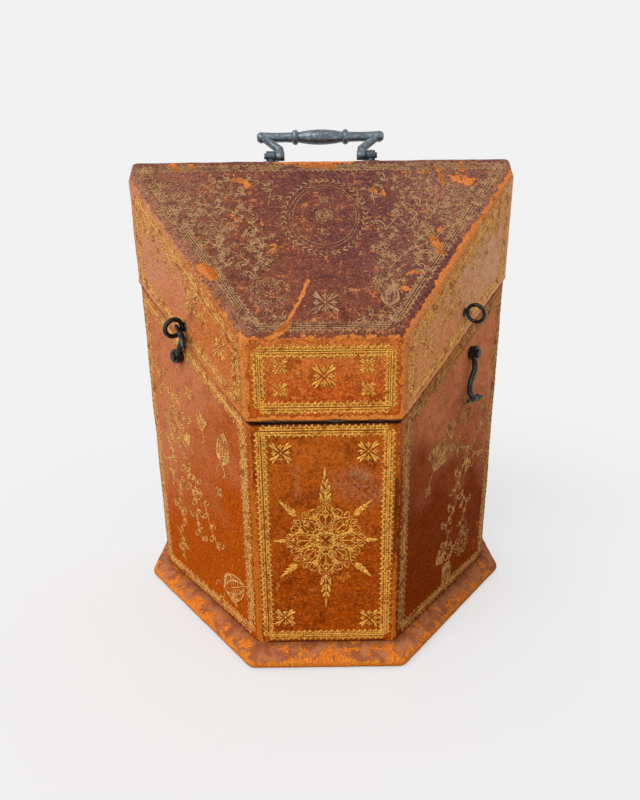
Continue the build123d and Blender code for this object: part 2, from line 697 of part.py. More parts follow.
def hook_in_own_frame(reach, jog):
    """Pivot on the origin, shank along y, nose along x, z outwards from the body's face."""
    hub = Pos(0, 0, hub_bottom()) * extrude(Circle(HUB_RADIUS), HUB_THICKNESS)
    root = Vector(jog, reach, NOSE_STANDOFF)
    straight = NOSE_LENGTH - NOSE_RADIUS
    nose = rod(root, (1, 0, 0), straight, NOSE_RADIUS)
    tip = Pos(*(root + Vector(straight, 0, 0))) * Sphere(NOSE_RADIUS)
    knuckle = Pos(*root) * Sphere(HOOK_KNUCKLE_RADIUS)
    hook = hub + hook_shank(reach, jog) + knuckle + nose + tip + thumb_tab(root)
    return hook - rod((0, 0, 0), (0, 0, 1), hub_top(), PIVOT_RADIUS + RUNNING_CLEARANCE)


def hooked_turn(pivot, eye, jog):
    """Turn of the hook about the wall's normal, from hanging to hooked, in degrees."""
    across = eye[0] - pivot[0]
    up = eye[1] - pivot[1]
    distance = math.hypot(across, up)
    lean = math.degrees(math.atan2(-across, up))
    set_angle = math.degrees(math.asin((jog + NOSE_SETBACK) / distance))
    return 180.0 - lean - set_angle


def placed_hook(pivot, reach, jog, turn):
    """A right-hand hook, turned forwards and up from hanging by turn degrees."""
    wall = canted_plane()
    hanging = Plane(
        origin=wall.from_local_coords(Vector(pivot[0], pivot[1], 0)),
        x_dir=-wall.x_dir,
        z_dir=wall.z_dir,
    )
    return hanging * Rot(0, 0, -turn) * hook_in_own_frame(reach, jog)


def make_latches():
    nodes["right_hook"] = placed_hook(RIGHT_PIVOT, RIGHT_REACH, RIGHT_JOG, 0.0)
    left_turn = hooked_turn(LEFT_PIVOT, LEFT_EYE, LEFT_JOG)
    nodes["left_hook"] = handed(placed_hook(LEFT_PIVOT, LEFT_REACH, LEFT_JOG, left_turn), "left")
    nodes["right_eye"] = make_eye(RIGHT_EYE)
    nodes["left_eye"] = handed(make_eye(LEFT_EYE), "left")
    nodes["right_hook_pivot"] = make_pivot(RIGHT_PIVOT)
    nodes["left_hook_pivot"] = handed(make_pivot(LEFT_PIVOT), "left")


# ---- Carrying handle -------------------------------------------------------------------------
def grip_profile():
    """The grip's outline from its axis to its surface, end to end."""
    bead_start = BEAD_PLACE - BEAD_HALF_WIDTH
    bead_end = BEAD_PLACE + BEAD_HALF_WIDTH
    end_start = GRIP_HALF - GRIP_END * 0.6
    neck_middle = (bead_end + end_start) / 2
    edges = [
        Line((-GRIP_HALF, 0), (GRIP_HALF, 0)),
        Spline((-bead_start, GRIP_COVE), (0, GRIP_SWELL), (bead_start, GRIP_COVE)),
    ]
    for hand in (1, -1):
        edges.append(ThreePointArc(
            (hand * bead_start, GRIP_COVE), (hand * BEAD_PLACE, BEAD_RADIUS), (hand * bead_end, GRIP_COVE)
        ))
        edges.append(Spline(
            (hand * bead_end, GRIP_COVE), (hand * neck_middle, GRIP_NECK), (hand * end_start, GRIP_END)
        ))
        edges.append(Polyline(
            (hand * end_start, GRIP_END), (hand * GRIP_HALF, GRIP_END * 0.6), (hand * GRIP_HALF, 0)
        ))
    return make_face(edges)


def bail_end():
    """The right arm of the bail with its pivot pin, upright, pivot axis on the origin along x."""
    post_inner = (POST_SPREAD - POST_WIDTH) / 2
    post_outer = (POST_SPREAD + POST_WIDTH) / 2
    boss_start = post_inner - SIDE_PLAY - BOSS_WIDTH
    boss = rod((boss_start, 0, 0), (1, 0, 0), BOSS_WIDTH, BOSS_RADIUS)
    foot_x = boss_start + BOSS_WIDTH / 2
    path = FilletPolyline(
        (foot_x, 0, 0), (foot_x, 0, ARM_RISE), (ARM_TOP_PLACE, 0, BAIL_RADIUS), radius=ARM_BEND_RADIUS
    )
    arm = sweep(Plane(origin=path @ 0, z_dir=path % 0) * Circle(ARM_RADIUS), path)
    pin = rod((foot_x, 0, 0), (1, 0, 0), post_outer + SIDE_PLAY - foot_x, BAIL_PIN_RADIUS)
    head = rod((post_outer + SIDE_PLAY, 0, 0), (1, 0, 0), BAIL_PIN_HEAD, BAIL_PIN_HEAD_RADIUS)
    return arm + boss + pin + head


def make_handle():
    grip = Pos(0, 0, BAIL_RADIUS) * revolve(grip_profile(), Axis.X, 360)
    bail = grip + both_hands(bail_end())
    nodes["bail"] = Pos(0, POST_Y, BAIL_PIVOT_Z) * Rot(-BAIL_LEAN, 0, 0) * bail
    post_x = POST_SPREAD / 2
    foot = (post_x, POST_Y, LID_TOP_Z)
    flange = rod(foot, (0, 0, 1), POST_FLANGE_THICKNESS, POST_FLANGE_RADIUS)
    neck = rod(foot, (0, 0, 1), POST_PIVOT_HEIGHT, POST_NECK_RADIUS)
    eye_start = (post_x - POST_WIDTH / 2, POST_Y, BAIL_PIVOT_Z)
    eye = rod(eye_start, (1, 0, 0), POST_WIDTH, POST_EYE_RADIUS)
    hole = rod(eye_start, (1, 0, 0), POST_WIDTH, BAIL_PIN_RADIUS + RUNNING_CLEARANCE)
    post = flange + neck + eye + stud(STUD_RADIUS) - hole
    nodes["right_handle_post"] = post
    nodes["left_handle_post"] = handed(post, "left")
    washer_top = LID_TOP_Z - LINED_FACE
    washer = rod((post_x, POST_Y, washer_top), (0, 0, -1), WASHER_THICKNESS, WASHER_RADIUS)
    nut_top = washer_top - WASHER_THICKNESS
    nut = Pos(post_x, POST_Y, nut_top - NUT_THICKNESS / 2) * Box(NUT_WIDTH, NUT_WIDTH, NUT_THICKNESS)
    hole = stud(STUD_RADIUS + RUNNING_CLEARANCE)
    nodes["handle_washers"] = Compound(children=both_hands(washer - hole))
    nodes["handle_nuts"] = Compound(children=both_hands(nut - hole))


# ---- Assembly --------------------------------------------------------------------------------
make_body_carcase()
make_body_leather()
make_plinth()
make_rack_boards()
make_tier_battens()
make_rack_velvet()
make_body_lining()
make_lid_carcase()
make_lid_leather()
make_lid_lining()
make_hinges()
make_latches()
make_handle()

os.makedirs("parts", exist_ok=True)
for node_name, node_shape in nodes.items():
    export_step(Pos(0, -CENTRE_Y, 0) * node_shape, f"parts/{node_name}.step")

hook_turns = {
    "left": hooked_turn(LEFT_PIVOT, LEFT_EYE, LEFT_JOG),
    "right": hooked_turn(RIGHT_PIVOT, RIGHT_EYE, RIGHT_JOG),
}
print(f"{len(nodes)} nodes, moved back by {-CENTRE_Y:.2f} mm, hooks hooked at {hook_turns}")
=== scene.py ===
"""Looks of the leather-covered silverware chest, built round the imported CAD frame.

The leather skins, their gilt tooling, the foot's cover and the forged iron are modelled here; the boards,
the rack, the velvets and the hinges are the frame's own nodes with better finishes. Lengths are
millimetres in the case's own frame, with the body's front face on y = 0, until CaseForm.placed puts a
finished mesh into the frame.
"""

import logging
import math
import random
from collections.abc import Callable
from dataclasses import dataclass, field
from enum import Enum
from functools import partial

import bpy
import numpy as np
from mathutils import Matrix, Vector, noise

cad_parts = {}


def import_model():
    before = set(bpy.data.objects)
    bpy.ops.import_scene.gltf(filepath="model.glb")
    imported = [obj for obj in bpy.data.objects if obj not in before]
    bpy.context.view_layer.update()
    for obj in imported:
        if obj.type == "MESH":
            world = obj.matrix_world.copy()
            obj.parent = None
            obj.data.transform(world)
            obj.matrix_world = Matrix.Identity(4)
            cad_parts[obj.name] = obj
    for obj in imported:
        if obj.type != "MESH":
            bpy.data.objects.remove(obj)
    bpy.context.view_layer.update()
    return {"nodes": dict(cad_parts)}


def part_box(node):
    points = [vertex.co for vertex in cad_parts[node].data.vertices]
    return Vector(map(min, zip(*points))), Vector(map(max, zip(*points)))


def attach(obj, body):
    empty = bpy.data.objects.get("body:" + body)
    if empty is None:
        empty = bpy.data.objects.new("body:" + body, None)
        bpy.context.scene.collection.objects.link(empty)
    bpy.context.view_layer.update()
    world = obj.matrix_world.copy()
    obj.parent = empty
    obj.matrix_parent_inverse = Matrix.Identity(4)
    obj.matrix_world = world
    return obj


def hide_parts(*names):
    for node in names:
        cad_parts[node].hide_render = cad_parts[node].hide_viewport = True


LOG = logging.getLogger("silverware_chest")
METRES = 0.001               # one millimetre
MIX_A, MIX_B, MIX_OUT = 6, 7, 2           # the colour sockets of a Mix node
COLOURS = {"data_type": "RGBA"}
SMOOTH = {"interpolation_type": "SMOOTHSTEP"}
SUM = {"operation": "MULTIPLY_ADD"}
TEAR = {"Scale": 200.0, "Detail": 9.0, "Roughness": 0.72}         # raggedness of worn edges, in 5 mm
RAGGED, BARE_FROM = 2.0, 1.42             # how much of it there is, and the level past which hide shows
HIDE_INDEX = 1.47                         # refractive index of leather
LACE_ROLL = 4.3                           # length of one scallop, as the lace's shapes are drawn
UP, EAST = Vector((0, 0, 1)), Vector((1, 0, 0))
SIDES = (-1, 1)
Point = tuple[float, float]
Piece, Material, Socket = bpy.types.Object, bpy.types.Material, bpy.types.NodeSocket


# ---- Shape of the chest ----------------------------------------------------------------------
@dataclass(frozen=True)
class CaseForm:
    """Outside sizes of the chest, and the place of the frame's origin on it."""

    origin_y: float                  # case y of the frame's origin
    back_width: float = 300.0
    body_front_width: float = 103.0
    cant_depth: float = 115.0
    depth: float = 160.0
    seam_front_z: float = 193.0
    seam_angle: float = 35.6
    seam_gap: float = 0.4
    lid_front_z: float = 251.0
    lid_top_z: float = 369.0
    top_strip: float = 34.5
    lid_overhang: float = 1.5
    lid_front_spread: float = 2.0
    body_round: float = 3.0
    lid_round: float = 5.0
    plinth_height: float = 14.0
    leather: float = 1.2

    @property
    def ridge_y(self) -> float:
        """Case y of the fold between the lid's slope and its level strip."""
        return self.depth - self.top_strip

    @property
    def lid_slope(self) -> float:
        """Rise of the lid's slope for each millimetre towards the back."""
        return (self.lid_top_z - self.lid_front_z) / (self.ridge_y + self.lid_overhang)

    @property
    def slope_length(self) -> float:
        """Length of the lid's slope from its front edge to the fold."""
        return math.hypot(self.lid_top_z - self.lid_front_z, self.ridge_y + self.lid_overhang)

    def seam_z(self, y: float) -> float:
        """Height of the cut between body and lid at a case y."""
        return self.seam_front_z + max(y, 0.0) * math.tan(math.radians(self.seam_angle))

    def slope_z(self, y: float) -> float:
        """Height of the lid's outside at a case y."""
        return min(self.lid_front_z + (y + self.lid_overhang) * self.lid_slope, self.lid_top_z)

    def placed(self, points: np.ndarray) -> np.ndarray:
        """Turns rows of case millimetres into the frame's metres."""
        return (points - np.array([0.0, self.origin_y, 0.0])) * METRES


@dataclass(frozen=True)
class Rub:
    """A worn, stained or dusty stretch of leather, strongest on the line from start to end."""

    start: Vector
    end: Vector
    reach: float
    strength: float = 1.0


def levels(points: np.ndarray, rubs: list[Rub]) -> np.ndarray:
    """Strength of a list of rubs at each point, from 0 to 1.

    Args:
        points: Rows of x, y, z in case millimetres.
        rubs: The worn or stained stretches.

    Returns:
        One number for each point.
    """
    found = np.zeros(len(points))
    for rub in rubs:
        start, way = np.array(rub.start), np.array(rub.end - rub.start)
        share = np.clip((points - start) @ way / max(way @ way, 1e-9), 0.0, 1.0)
        away = np.linalg.norm(points - start - share[:, None] * way, axis=1)
        found = np.maximum(found, rub.strength * np.clip(1.25 - away / rub.reach, 0.0, 1.0))
    return found


@dataclass(frozen=True)
class Panel:
    """A flat face of the chest with its own u and v axes, in millimetres."""

    origin: Vector
    along: Vector
    up: Vector

    def point(self, u: float, v: float) -> Vector:
        """Case point at u along the panel and v up it."""
        return self.origin + self.along * u + self.up * v

    def points(self, flat: np.ndarray) -> np.ndarray:
        """Case points of rows of u and v."""
        return np.array(self.origin) + flat[:, :1] * np.array(self.along) + flat[:, 1:2] * np.array(self.up)

    def rubs(self, *rows: tuple[float, ...]) -> list[Rub]:
        """Rubs on the panel, each row with u and v of both ends, its reach and its strength."""
        return [Rub(self.point(a, b), self.point(c, d), *rest) for a, b, c, d, *rest in rows]


class Edge(Enum):
    """The edge of a facet at the seam, where the leather is turned in and its mesh is finer."""

    TOP = "top"
    BOTTOM = "bottom"
    NONE = "none"


@dataclass(frozen=True)
class Facet:
    """A flat stretch of a skin: four corners, anticlockwise from outside, and its mesh counts."""

    corners: tuple[Vector, Vector, Vector, Vector]
    columns: int
    rows: int
    seam: Edge = Edge.NONE


@dataclass(frozen=True)
class Hull:
    """The outward faces that a skin is wrapped round, with every edge between them rounded."""

    normals: np.ndarray
    reaches: np.ndarray
    rounding: float
    sweeps: int = 40

    def wrapped(self, points: np.ndarray) -> tuple[np.ndarray, np.ndarray]:
        """Rounds points that lie on the sharp faces.

        Args:
            points: Rows of x, y, z on the sharp faces.

        Returns:
            The points on the rounded skin, and the outward normals there.
        """
        core = points.copy()
        spare = np.zeros((len(self.normals),) + points.shape)
        for _ in range(self.sweeps):
            for i, normal in enumerate(self.normals):
                shifted = core + spare[i]
                over = shifted @ normal - (self.reaches[i] - self.rounding)
                core = shifted - np.outer(np.maximum(over, 0.0), normal)
                spare[i] = shifted - core
        away = points - core
        away /= np.maximum(np.linalg.norm(away, axis=1, keepdims=True), 1e-9)
        return core + away * self.rounding, away


def hull_of(faces: list[tuple[Vector, Vector]], rounding: float) -> Hull:
    """Makes a hull of flat faces.

    Args:
        faces: A point on each face and its outward direction.
        rounding: Radius of the edges between them.

    Returns:
        The hull.
    """
    normals = np.array([tuple(n.normalized()) for _, n in faces])
    reaches = np.array([p.dot(n.normalized()) for p, n in faces])
    return Hull(normals, reaches, rounding)


# ---- Finishes --------------------------------------------------------------------------------
def linear(code: str) -> tuple[float, float, float, float]:
    """Turns an sRGB hex colour into the linear colour that a shader takes."""
    parts = [int(code[i:i + 2], 16) / 255 for i in (1, 3, 5)]
    return (*[c / 12.92 if c <= 0.04045 else ((c + 0.055) / 1.055) ** 2.4 for c in parts], 1.0)


def per(size: float) -> float:
    """Texture scale for features of a size in millimetres, on Object coordinates in metres."""
    return 1.0 / (size * METRES)


def add_node(
    tree: bpy.types.NodeTree, kind: str, inputs: dict | None = None, out: str | int = 0, **settings: object
) -> Socket | None:
    """Adds one node to a tree.

    Args:
        tree: The material's or world's node tree.
        kind: The node's type, without the words that all shader nodes start with.
        inputs: What goes into its sockets, by name or number: a node's socket, a value or a hex colour.
        out: The output to give back, by name or number.
        settings: Properties to set on the node.

    Returns:
        The output, or None for a node that has none.
    """
    node = tree.nodes.new("ShaderNode" + kind)
    for name, value in settings.items():
        setattr(node, name, value)
    for name, value in (inputs or {}).items():
        if isinstance(value, Socket):
            tree.links.new(value, node.inputs[name])
        else:
            node.inputs[name].default_value = linear(value) if isinstance(value, str) else value
    return node.outputs[out] if node.outputs else None


def blank_material(name: str) -> tuple[Material, Callable[..., Socket]]:
    """Starts a material with an empty tree.

    Args:
        name: The material's name.

    Returns:
        The material, and the call that adds nodes to it.
    """
    material = bpy.data.materials.new(name)
    material.use_nodes = True
    material.node_tree.nodes.clear()
    return material, partial(add_node, material.node_tree)


def overlaid(add: Callable[..., Socket], base: Socket | str, *layers: tuple) -> Socket:
    """Lays colours over a base, each where its source is past a level.

    Args:
        add: The call that adds nodes to the material.
        base: The colour underneath, as a socket or a hex code.
        layers: For each colour: its source, the levels where it starts and where it is whole, its
            greatest share, and the colour itself.

    Returns:
        The colour with every layer over it.
    """
    for source, low, high, share, colour in layers:
        bounds = {"From Min": low, "From Max": high, "To Max": share}
        amount = add("MapRange", {"Value": source, **bounds}, **SMOOTH)
        base = add("Mix", {0: amount, MIX_A: base, MIX_B: colour}, MIX_OUT, **COLOURS)
    return base


def surfaced(
    material: Material, add: Callable[..., Socket], sockets: dict,
    relief: tuple[Socket, float, float] | None = None,
) -> Material:
    """Ends a material with its shader.

    Args:
        material: The material.
        add: The call that adds nodes to it.
        sockets: What goes into the shader, by name.
        relief: What lifts the surface, how strongly, and by how many millimetres.

    Returns:
        The same material.
    """
    if relief:
        height, strength, deep = relief
        sockets["Normal"] = add("Bump", {"Height": height, "Strength": strength, "Distance": deep * METRES})
    add("OutputMaterial", {"Surface": add("BsdfPrincipled", sockets)})
    return material


@dataclass(frozen=True)
class LeatherFinish:
    """Vegetable-tanned goatskin, dyed, glazed and gilt, then rubbed through by two centuries' use.

    The glaze gives a low sheen over a fine pebble grain. Where the dyed face has worn off, the bare
    flesh of the hide shows bright orange and dull, with a ragged edge.
    """

    name: str
    ground: str
    blush: str
    deep: str
    light: str
    flesh: str = "#B8560C"
    flesh_light: str = "#D67F33"
    # dark stains and grime, which also paint the shade along the seam and under the lid's lip
    grime: str = "#2A1108"
    # pale dust, which on the front also paints a sheen highlight
    dust: str = "#C08A68"
    crackle: float = 0.3             # share of the surface that has fine cracks
    scraped: float = 0.0             # how strongly long sideways scratches show
    chipped: float = 0.2             # share of the surface that has lost flakes of dye
    mottle: float = 1.0              # how uneven the dye is, pebble by pebble
    blotted: float = 0.6             # how dark its larger blots are
    gloss: float = 0.05              # the glaze is nearly all rubbed off
    sheen_roughness: float = 0.47
    bare_roughness: float = 0.82
    cloud_size: float = 40.0         # soft unevenness of the dye
    blot_size: float = 9.0
    chip_size: float = 5.0
    fleck_size: float = 1.6
    grain_size: float = 1.1          # real pebbles are about half this, too fine to show
    crack_size: float = 24.0
    scrape_size: float = 4.5

    def build(self) -> Material:
        """Makes the leather's material, which reads the skin's wear, its blush, its stains with the painted
        shade along the seam, and its dust with a painted sheen highlight.

        Returns:
            The material.
        """
        material, add = blank_material(self.name)
        coords = add("TexCoord", out="Object")
        wear, blush, stain, haze = (
            add("Attribute", out="Fac", attribute_name=name) for name in ("wear", "blush", "stain", "haze"))
        cloud, blot, chip, fleck = (
            add("TexNoise", {"Vector": coords, "Scale": per(size), "Detail": detail, "Roughness": rough})
            for size, detail, rough in ((self.cloud_size, 3.0, 0.5), (self.blot_size, 5.0, 0.6),
                                        (self.chip_size, 6.0, 0.75), (self.fleck_size, 3.0, 0.7)))
        tear = add("TexNoise", {"Vector": coords, **TEAR})
        vein = add("TexNoise", {"Vector": coords, "Scale": per(self.crack_size), "Detail": 5.0,
                                "Roughness": 0.58, "Distortion": 0.6})
        drawn = add("Mapping", {"Vector": coords, "Scale": (0.07, 1.0, 1.0), "Rotation": (0.0, 0.0, 0.07)})
        scrape = add("TexNoise", {"Vector": drawn, "Scale": per(self.scrape_size)})
        pebble = add("TexVoronoi", {"Vector": coords, "Scale": per(self.grain_size)}, feature="F1")

        turned = add("Math", {0: cloud, 1: 0.9, 2: blush}, **SUM)
        flaked = 0.66 - 0.1 * self.chipped
        dyed = overlaid(
            add, self.ground, (turned, 0.6, 1.35, 1.0, self.blush),
            (blot, 0.46, 0.66, self.blotted, self.deep),
            (fleck, 0.5, 0.68, 0.6, self.light), (fleck, 0.46, 0.34, 0.6, self.deep),
            (chip, 0.38, 0.3, 0.7, self.deep), (chip, flaked, flaked + 0.03, 0.75, self.flesh_light))
        tone = add("Math", {0: fleck, 1: self.mottle, 2: 1.0 - self.mottle / 2}, **SUM)
        dyed = add("HueSaturation", {"Value": tone, "Color": dyed})

        thin_from = 0.68 - 0.22 * self.crackle
        split = add("Math", {0: vein, 1: 0.5, 2: 0.006}, operation="COMPARE")
        thin = add("MapRange", {"Value": cloud, "From Min": thin_from, "From Max": thin_from + 0.12},
                   **SMOOTH)
        split = add("Math", {0: split, 1: thin}, operation="MULTIPLY")
        scraped = add("Math", {0: scrape, 1: 0.5, 2: 0.007}, operation="COMPARE")
        where = add("MapRange", {"Value": blot, "From Min": 0.6 - 0.2 * self.scraped, "From Max": 0.7,
                                 "To Max": self.scraped}, **SMOOTH)
        scraped = add("Math", {0: scraped, 1: where}, operation="MULTIPLY")
        split = add("Math", {0: split, 1: scraped}, operation="MAXIMUM")
        opened = add("Math", {0: split, 1: 0.75}, operation="MULTIPLY")
        dyed = add("Mix", {0: opened, MIX_A: dyed, MIX_B: self.flesh_light}, MIX_OUT, **COLOURS)

        ragged = add("Math", {0: tear, 1: RAGGED, 2: wear}, **SUM)
        bare = add("MapRange", {"Value": ragged, "From Min": BARE_FROM, "From Max": BARE_FROM + 0.09},
                   **SMOOTH)
        # Dust, and on the front a painted sheen highlight.
        dyed = overlaid(add, dyed, (fleck, 0.3, 0.6, haze, self.dust),
                        (ragged, BARE_FROM - 0.18, BARE_FROM, 0.55, self.deep))
        hide = overlaid(add, self.flesh, (fleck, 0.38, 0.66, 1.0, self.flesh_light),
                        (chip, 0.42, 0.34, 0.6, self.deep))
        worn = add("Mix", {0: bare, MIX_A: dyed, MIX_B: hide}, MIX_OUT, **COLOURS)
        # Stains and grime, with painted shade along the seam and the lid's lip.
        soiled_and_shaded = add("Math", {0: tear, 1: 0.8, 2: stain}, **SUM)
        colour = overlaid(add, worn, (soiled_and_shaded, 0.56, 1.2, 1.0, self.grime))

        relief = fleck
        for source, lift in ((pebble, -0.22), (bare, -1.2), (split, -0.8)):
            relief = add("Math", {0: source, 1: lift, 2: relief}, **SUM)
        rough = add("MapRange", {"Value": bare, "To Min": self.sheen_roughness,
                                 "To Max": self.bare_roughness})
        return surfaced(material, add, {"Base Color": colour, "Roughness": rough, "IOR": HIDE_INDEX,
                                        "Specular IOR Level": self.gloss}, (relief, 0.5, 0.28))


@dataclass(frozen=True)
class GiltFinish:
    """Gold leaf pressed into the leather with hot brass tools, partly rubbed away to brown."""

    name: str
    gold: str
    dull: str
    rubbed: str
    scorch: str
    flesh: str = "#C06A24"
    kept: float = 0.6                # share of the leaf that is still bright
    metal: float = 0.3
    burnt_from: float = 0.86         # how far out from a stroke's middle the dark rim starts: scorched leather and painted shade
    patch_size: float = 6.0
    fleck_size: float = 0.9

    def build(self) -> Material:
        """Makes the gilt material, which gives way to bare hide where the skin's wear does.

        Returns:
            The material.
        """
        material, add = blank_material(self.name)
        coords = add("TexCoord", out="Object")
        wear, rim = (add("Attribute", out="Fac", attribute_name=name) for name in ("wear", "rim"))
        patch = add("TexNoise", {"Vector": coords, "Scale": per(self.patch_size), "Detail": 6.0,
                                 "Roughness": 0.7})
        fleck = add("TexNoise", {"Vector": coords, "Scale": per(self.fleck_size)})
        tear = add("TexNoise", {"Vector": coords, **TEAR})
        ragged = add("Math", {0: tear, 1: RAGGED, 2: wear}, **SUM)
        edge = add("Math", {0: fleck, 1: 0.4, 2: rim}, **SUM)
        leaf, edge, bare = (
            add("MapRange", {"Value": source, "From Min": low, "From Max": low + soft}, **SMOOTH)
            for source, low, soft in ((patch, 0.62 - 0.4 * self.kept, 0.14), (edge, self.burnt_from, 0.24),
                                      (ragged, BARE_FROM + 0.03, 0.12)))
        colour = overlaid(add, self.dull, (fleck, 0.4, 0.62, 1.0, self.gold))
        colour = add("Mix", {0: leaf, MIX_A: self.rubbed, MIX_B: colour}, MIX_OUT, **COLOURS)
        # The dark rim round the gold: scorched leather, and painted shade where the tool sank in.
        for amount, over in ((edge, self.scorch), (bare, self.flesh)):
            colour = add("Mix", {0: amount, MIX_A: colour, MIX_B: over}, MIX_OUT, **COLOURS)
        metal = add("Math", {0: leaf, 1: self.metal}, operation="MULTIPLY")
        covered = add("Math", {0: edge, 1: bare}, operation="MAXIMUM")
        metal = add("Mix", {0: covered, 2: metal, 3: 0.0}, data_type="FLOAT")
        return surfaced(material, add, {"Base Color": colour, "Metallic": metal, "Roughness": 0.42,
                                        "Specular IOR Level": 0.1})


@dataclass(frozen=True)
class MouldingFinish:
    """The foot's goatskin: dusky red on its slope, rubbed to dull orange hide on its rounded nose."""

    name: str = "foot_leather"
    slope: str = "#A25C3A"
    slope_light: str = "#BC764A"
    hide: str = "#D06C1C"
    hide_light: str = "#E88A38"
    grime: str = "#3A1B10"
    nose_top: float = 8.0            # height below which the nose is rubbed bare
    wall_shade: float = 14.5         # height at which the painted shade in the angle with the wall is thickest
    dull_from: float = 58.0          # how far to the right its painted shade starts

    def build(self) -> Material:
        """Makes the moulding's material, worn by its height above the floor.

        Returns:
            The material.
        """
        material, add = blank_material(self.name)
        coords = add("TexCoord", out="Object")
        height, aside = (add("SeparateXYZ", {"Vector": coords}, axis) for axis in "ZX")
        tear, chip, fleck, cloud = (
            add("TexNoise", {"Vector": coords, "Scale": per(size), "Detail": detail, "Roughness": rough})
            for size, detail, rough in (
                (13.0, 8.0, 0.62), (4.0, 6.0, 0.75), (1.7, 4.0, 0.7), (12.0, 6.0, 0.6)))
        down = add("MapRange", {"Value": height, "From Min": (self.nose_top + 1.5) * METRES,
                                "From Max": (self.nose_top - 4.0) * METRES, "To Max": 0.4})
        ragged = add("Math", {0: tear, 1: 1.3, 2: down}, **SUM)
        bare = add("MapRange", {"Value": ragged, "From Min": 0.68, "From Max": 0.71}, **SMOOTH)
        dyed = overlaid(add, self.slope, (cloud, 0.44, 0.56, 1.0, self.slope_light))
        hide = overlaid(add, self.hide, (fleck, 0.38, 0.64, 1.0, self.hide_light))
        worn = add("Mix", {0: bare, MIX_A: dyed, MIX_B: hide}, MIX_OUT, **COLOURS)
        tone = add("Math", {0: fleck, 1: 0.6, 2: 0.72}, **SUM)
        worn = add("HueSaturation", {"Value": tone, "Color": worn})
        # Painted shade in the angle with the wall and along the floor, dark chips of grime, and painted shade
        # on the right-hand side.
        worn = overlaid(
            add, worn, (height, 11.5 * METRES, self.wall_shade * METRES, 0.5, self.grime),
            (height, 2.4 * METRES, 0.6 * METRES, 0.5, self.grime), (chip, 0.37, 0.32, 0.65, self.grime),
            (aside, self.dull_from * METRES, 2 * self.dull_from * METRES, 0.3, self.grime))
        relief = add("Math", {0: bare, 1: -0.8, 2: fleck}, **SUM)
        return surfaced(material, add, {"Base Color": worn, "Roughness": 0.62, "IOR": HIDE_INDEX,
                                        "Specular IOR Level": 0.05}, (relief, 0.7, 0.5))


@dataclass(frozen=True)
class IronFinish:
    """Forged iron, blacked in oil and flecked bright, with thin rust in patches; on the latches the bright
    flecks are partly painted highlights.
    """

    name: str
    dark: str
    bright: str
    rust: str
    roughness: float
    rust_share: float
    grain: float = 0.8               # size of its pits
    patch_size: float = 5.0

    def build(self) -> Material:
        """Makes the iron's material.

        Returns:
            The material.
        """
        material, add = blank_material(self.name)
        coords = add("TexCoord", out="Object")
        patch, pit = (
            add("TexNoise", {"Vector": coords, "Scale": per(size), "Detail": detail, "Roughness": rough})
            for size, detail, rough in ((self.patch_size, 5.0, 0.65), (self.grain, 3.0, 0.7)))
        rust_from = 0.75 - 0.35 * self.rust_share
        rusty = add("MapRange", {"Value": patch, "From Min": rust_from, "From Max": rust_from + 0.1},
                    **SMOOTH)
        metal = overlaid(add, self.dark, (pit, 0.4, 0.68, 1.0, self.bright))
        colour = add("Mix", {0: rusty, MIX_A: metal, MIX_B: self.rust}, MIX_OUT, **COLOURS)
        rough = add("MapRange", {"Value": rusty, "To Min": self.roughness, "To Max": 0.7})
        return surfaced(material, add, {"Base Color": colour, "Metallic": 0.75, "Roughness": rough},
                        (pit, 0.36 / self.grain, 0.25))


@dataclass(frozen=True)
class PineFinish:
    """Plain sawn pine, yellowed with age: straight growth rings, darker in the late wood."""

    name: str
    pale: str = "#B98A55"
    late: str = "#8A5A2E"
    handled: str = "#3A2214"
    ring_width: float = 3.2
    pore_size: float = 0.6
    seam: tuple[float, float] | None = None      # height at y = 0 and rise of the cut, black from hands
    dirty: float = 3.5               # how far the dirt reaches from the cut

    def build(self) -> Material:
        """Makes the pine's material.

        Returns:
            The material.
        """
        material, add = blank_material(self.name)
        coords = add("TexCoord", out="Object")
        stretched = add("Mapping", {"Vector": coords, "Scale": (1.0, 1.0, 0.06)})
        rings = add("TexNoise", {"Vector": stretched, "Scale": per(self.ring_width), "Detail": 3.0,
                                 "Distortion": 0.4})
        pores = add("TexNoise", {"Vector": stretched, "Scale": per(self.pore_size)})
        wood = overlaid(add, self.pale, (rings, 0.4, 0.66, 1.0, self.late))
        if self.seam is not None:
            back, height = (add("SeparateXYZ", {"Vector": coords}, axis) for axis in "YZ")
            cut = add("Math", {0: back, 1: self.seam[1], 2: self.seam[0] * METRES}, **SUM)
            above = add("Math", {0: height, 1: cut}, operation="SUBTRACT")
            away = add("Math", {0: above}, operation="ABSOLUTE")
            wood = overlaid(add, wood, (away, self.dirty * METRES, 0.3 * METRES, 0.95, self.handled))
        return surfaced(material, add, {"Base Color": wood, "Roughness": 0.7, "IOR": 1.5}, (pores, 0.4, 0.2))


@dataclass(frozen=True)
class VelvetFinish:
    """Cut silk velvet: a short upright pile that is dark head-on and pale at a glance."""

    name: str
    pile: str
    crushed: str
    sheen: str = "#9DB89A"

    def build(self) -> Material:
        """Makes the velvet's material.

        Returns:
            The material.
        """
        material, add = blank_material(self.name)
        coords = add("TexCoord", out="Object")
        nap = add("TexNoise", {"Vector": coords, "Scale": per(22.0), "Detail": 5.0, "Roughness": 0.6})
        tuft = add("TexNoise", {"Vector": coords, "Scale": per(0.7), "Detail": 1.0})
        colour = overlaid(add, self.pile, (nap, 0.42, 0.66, 1.0, self.crushed))
        return surfaced(material, add, {"Base Color": colour, "Roughness": 0.95, "Sheen Weight": 0.7,
                                        "Sheen Roughness": 0.35, "Sheen Tint": self.sheen}, (tuft, 0.6, 0.4))


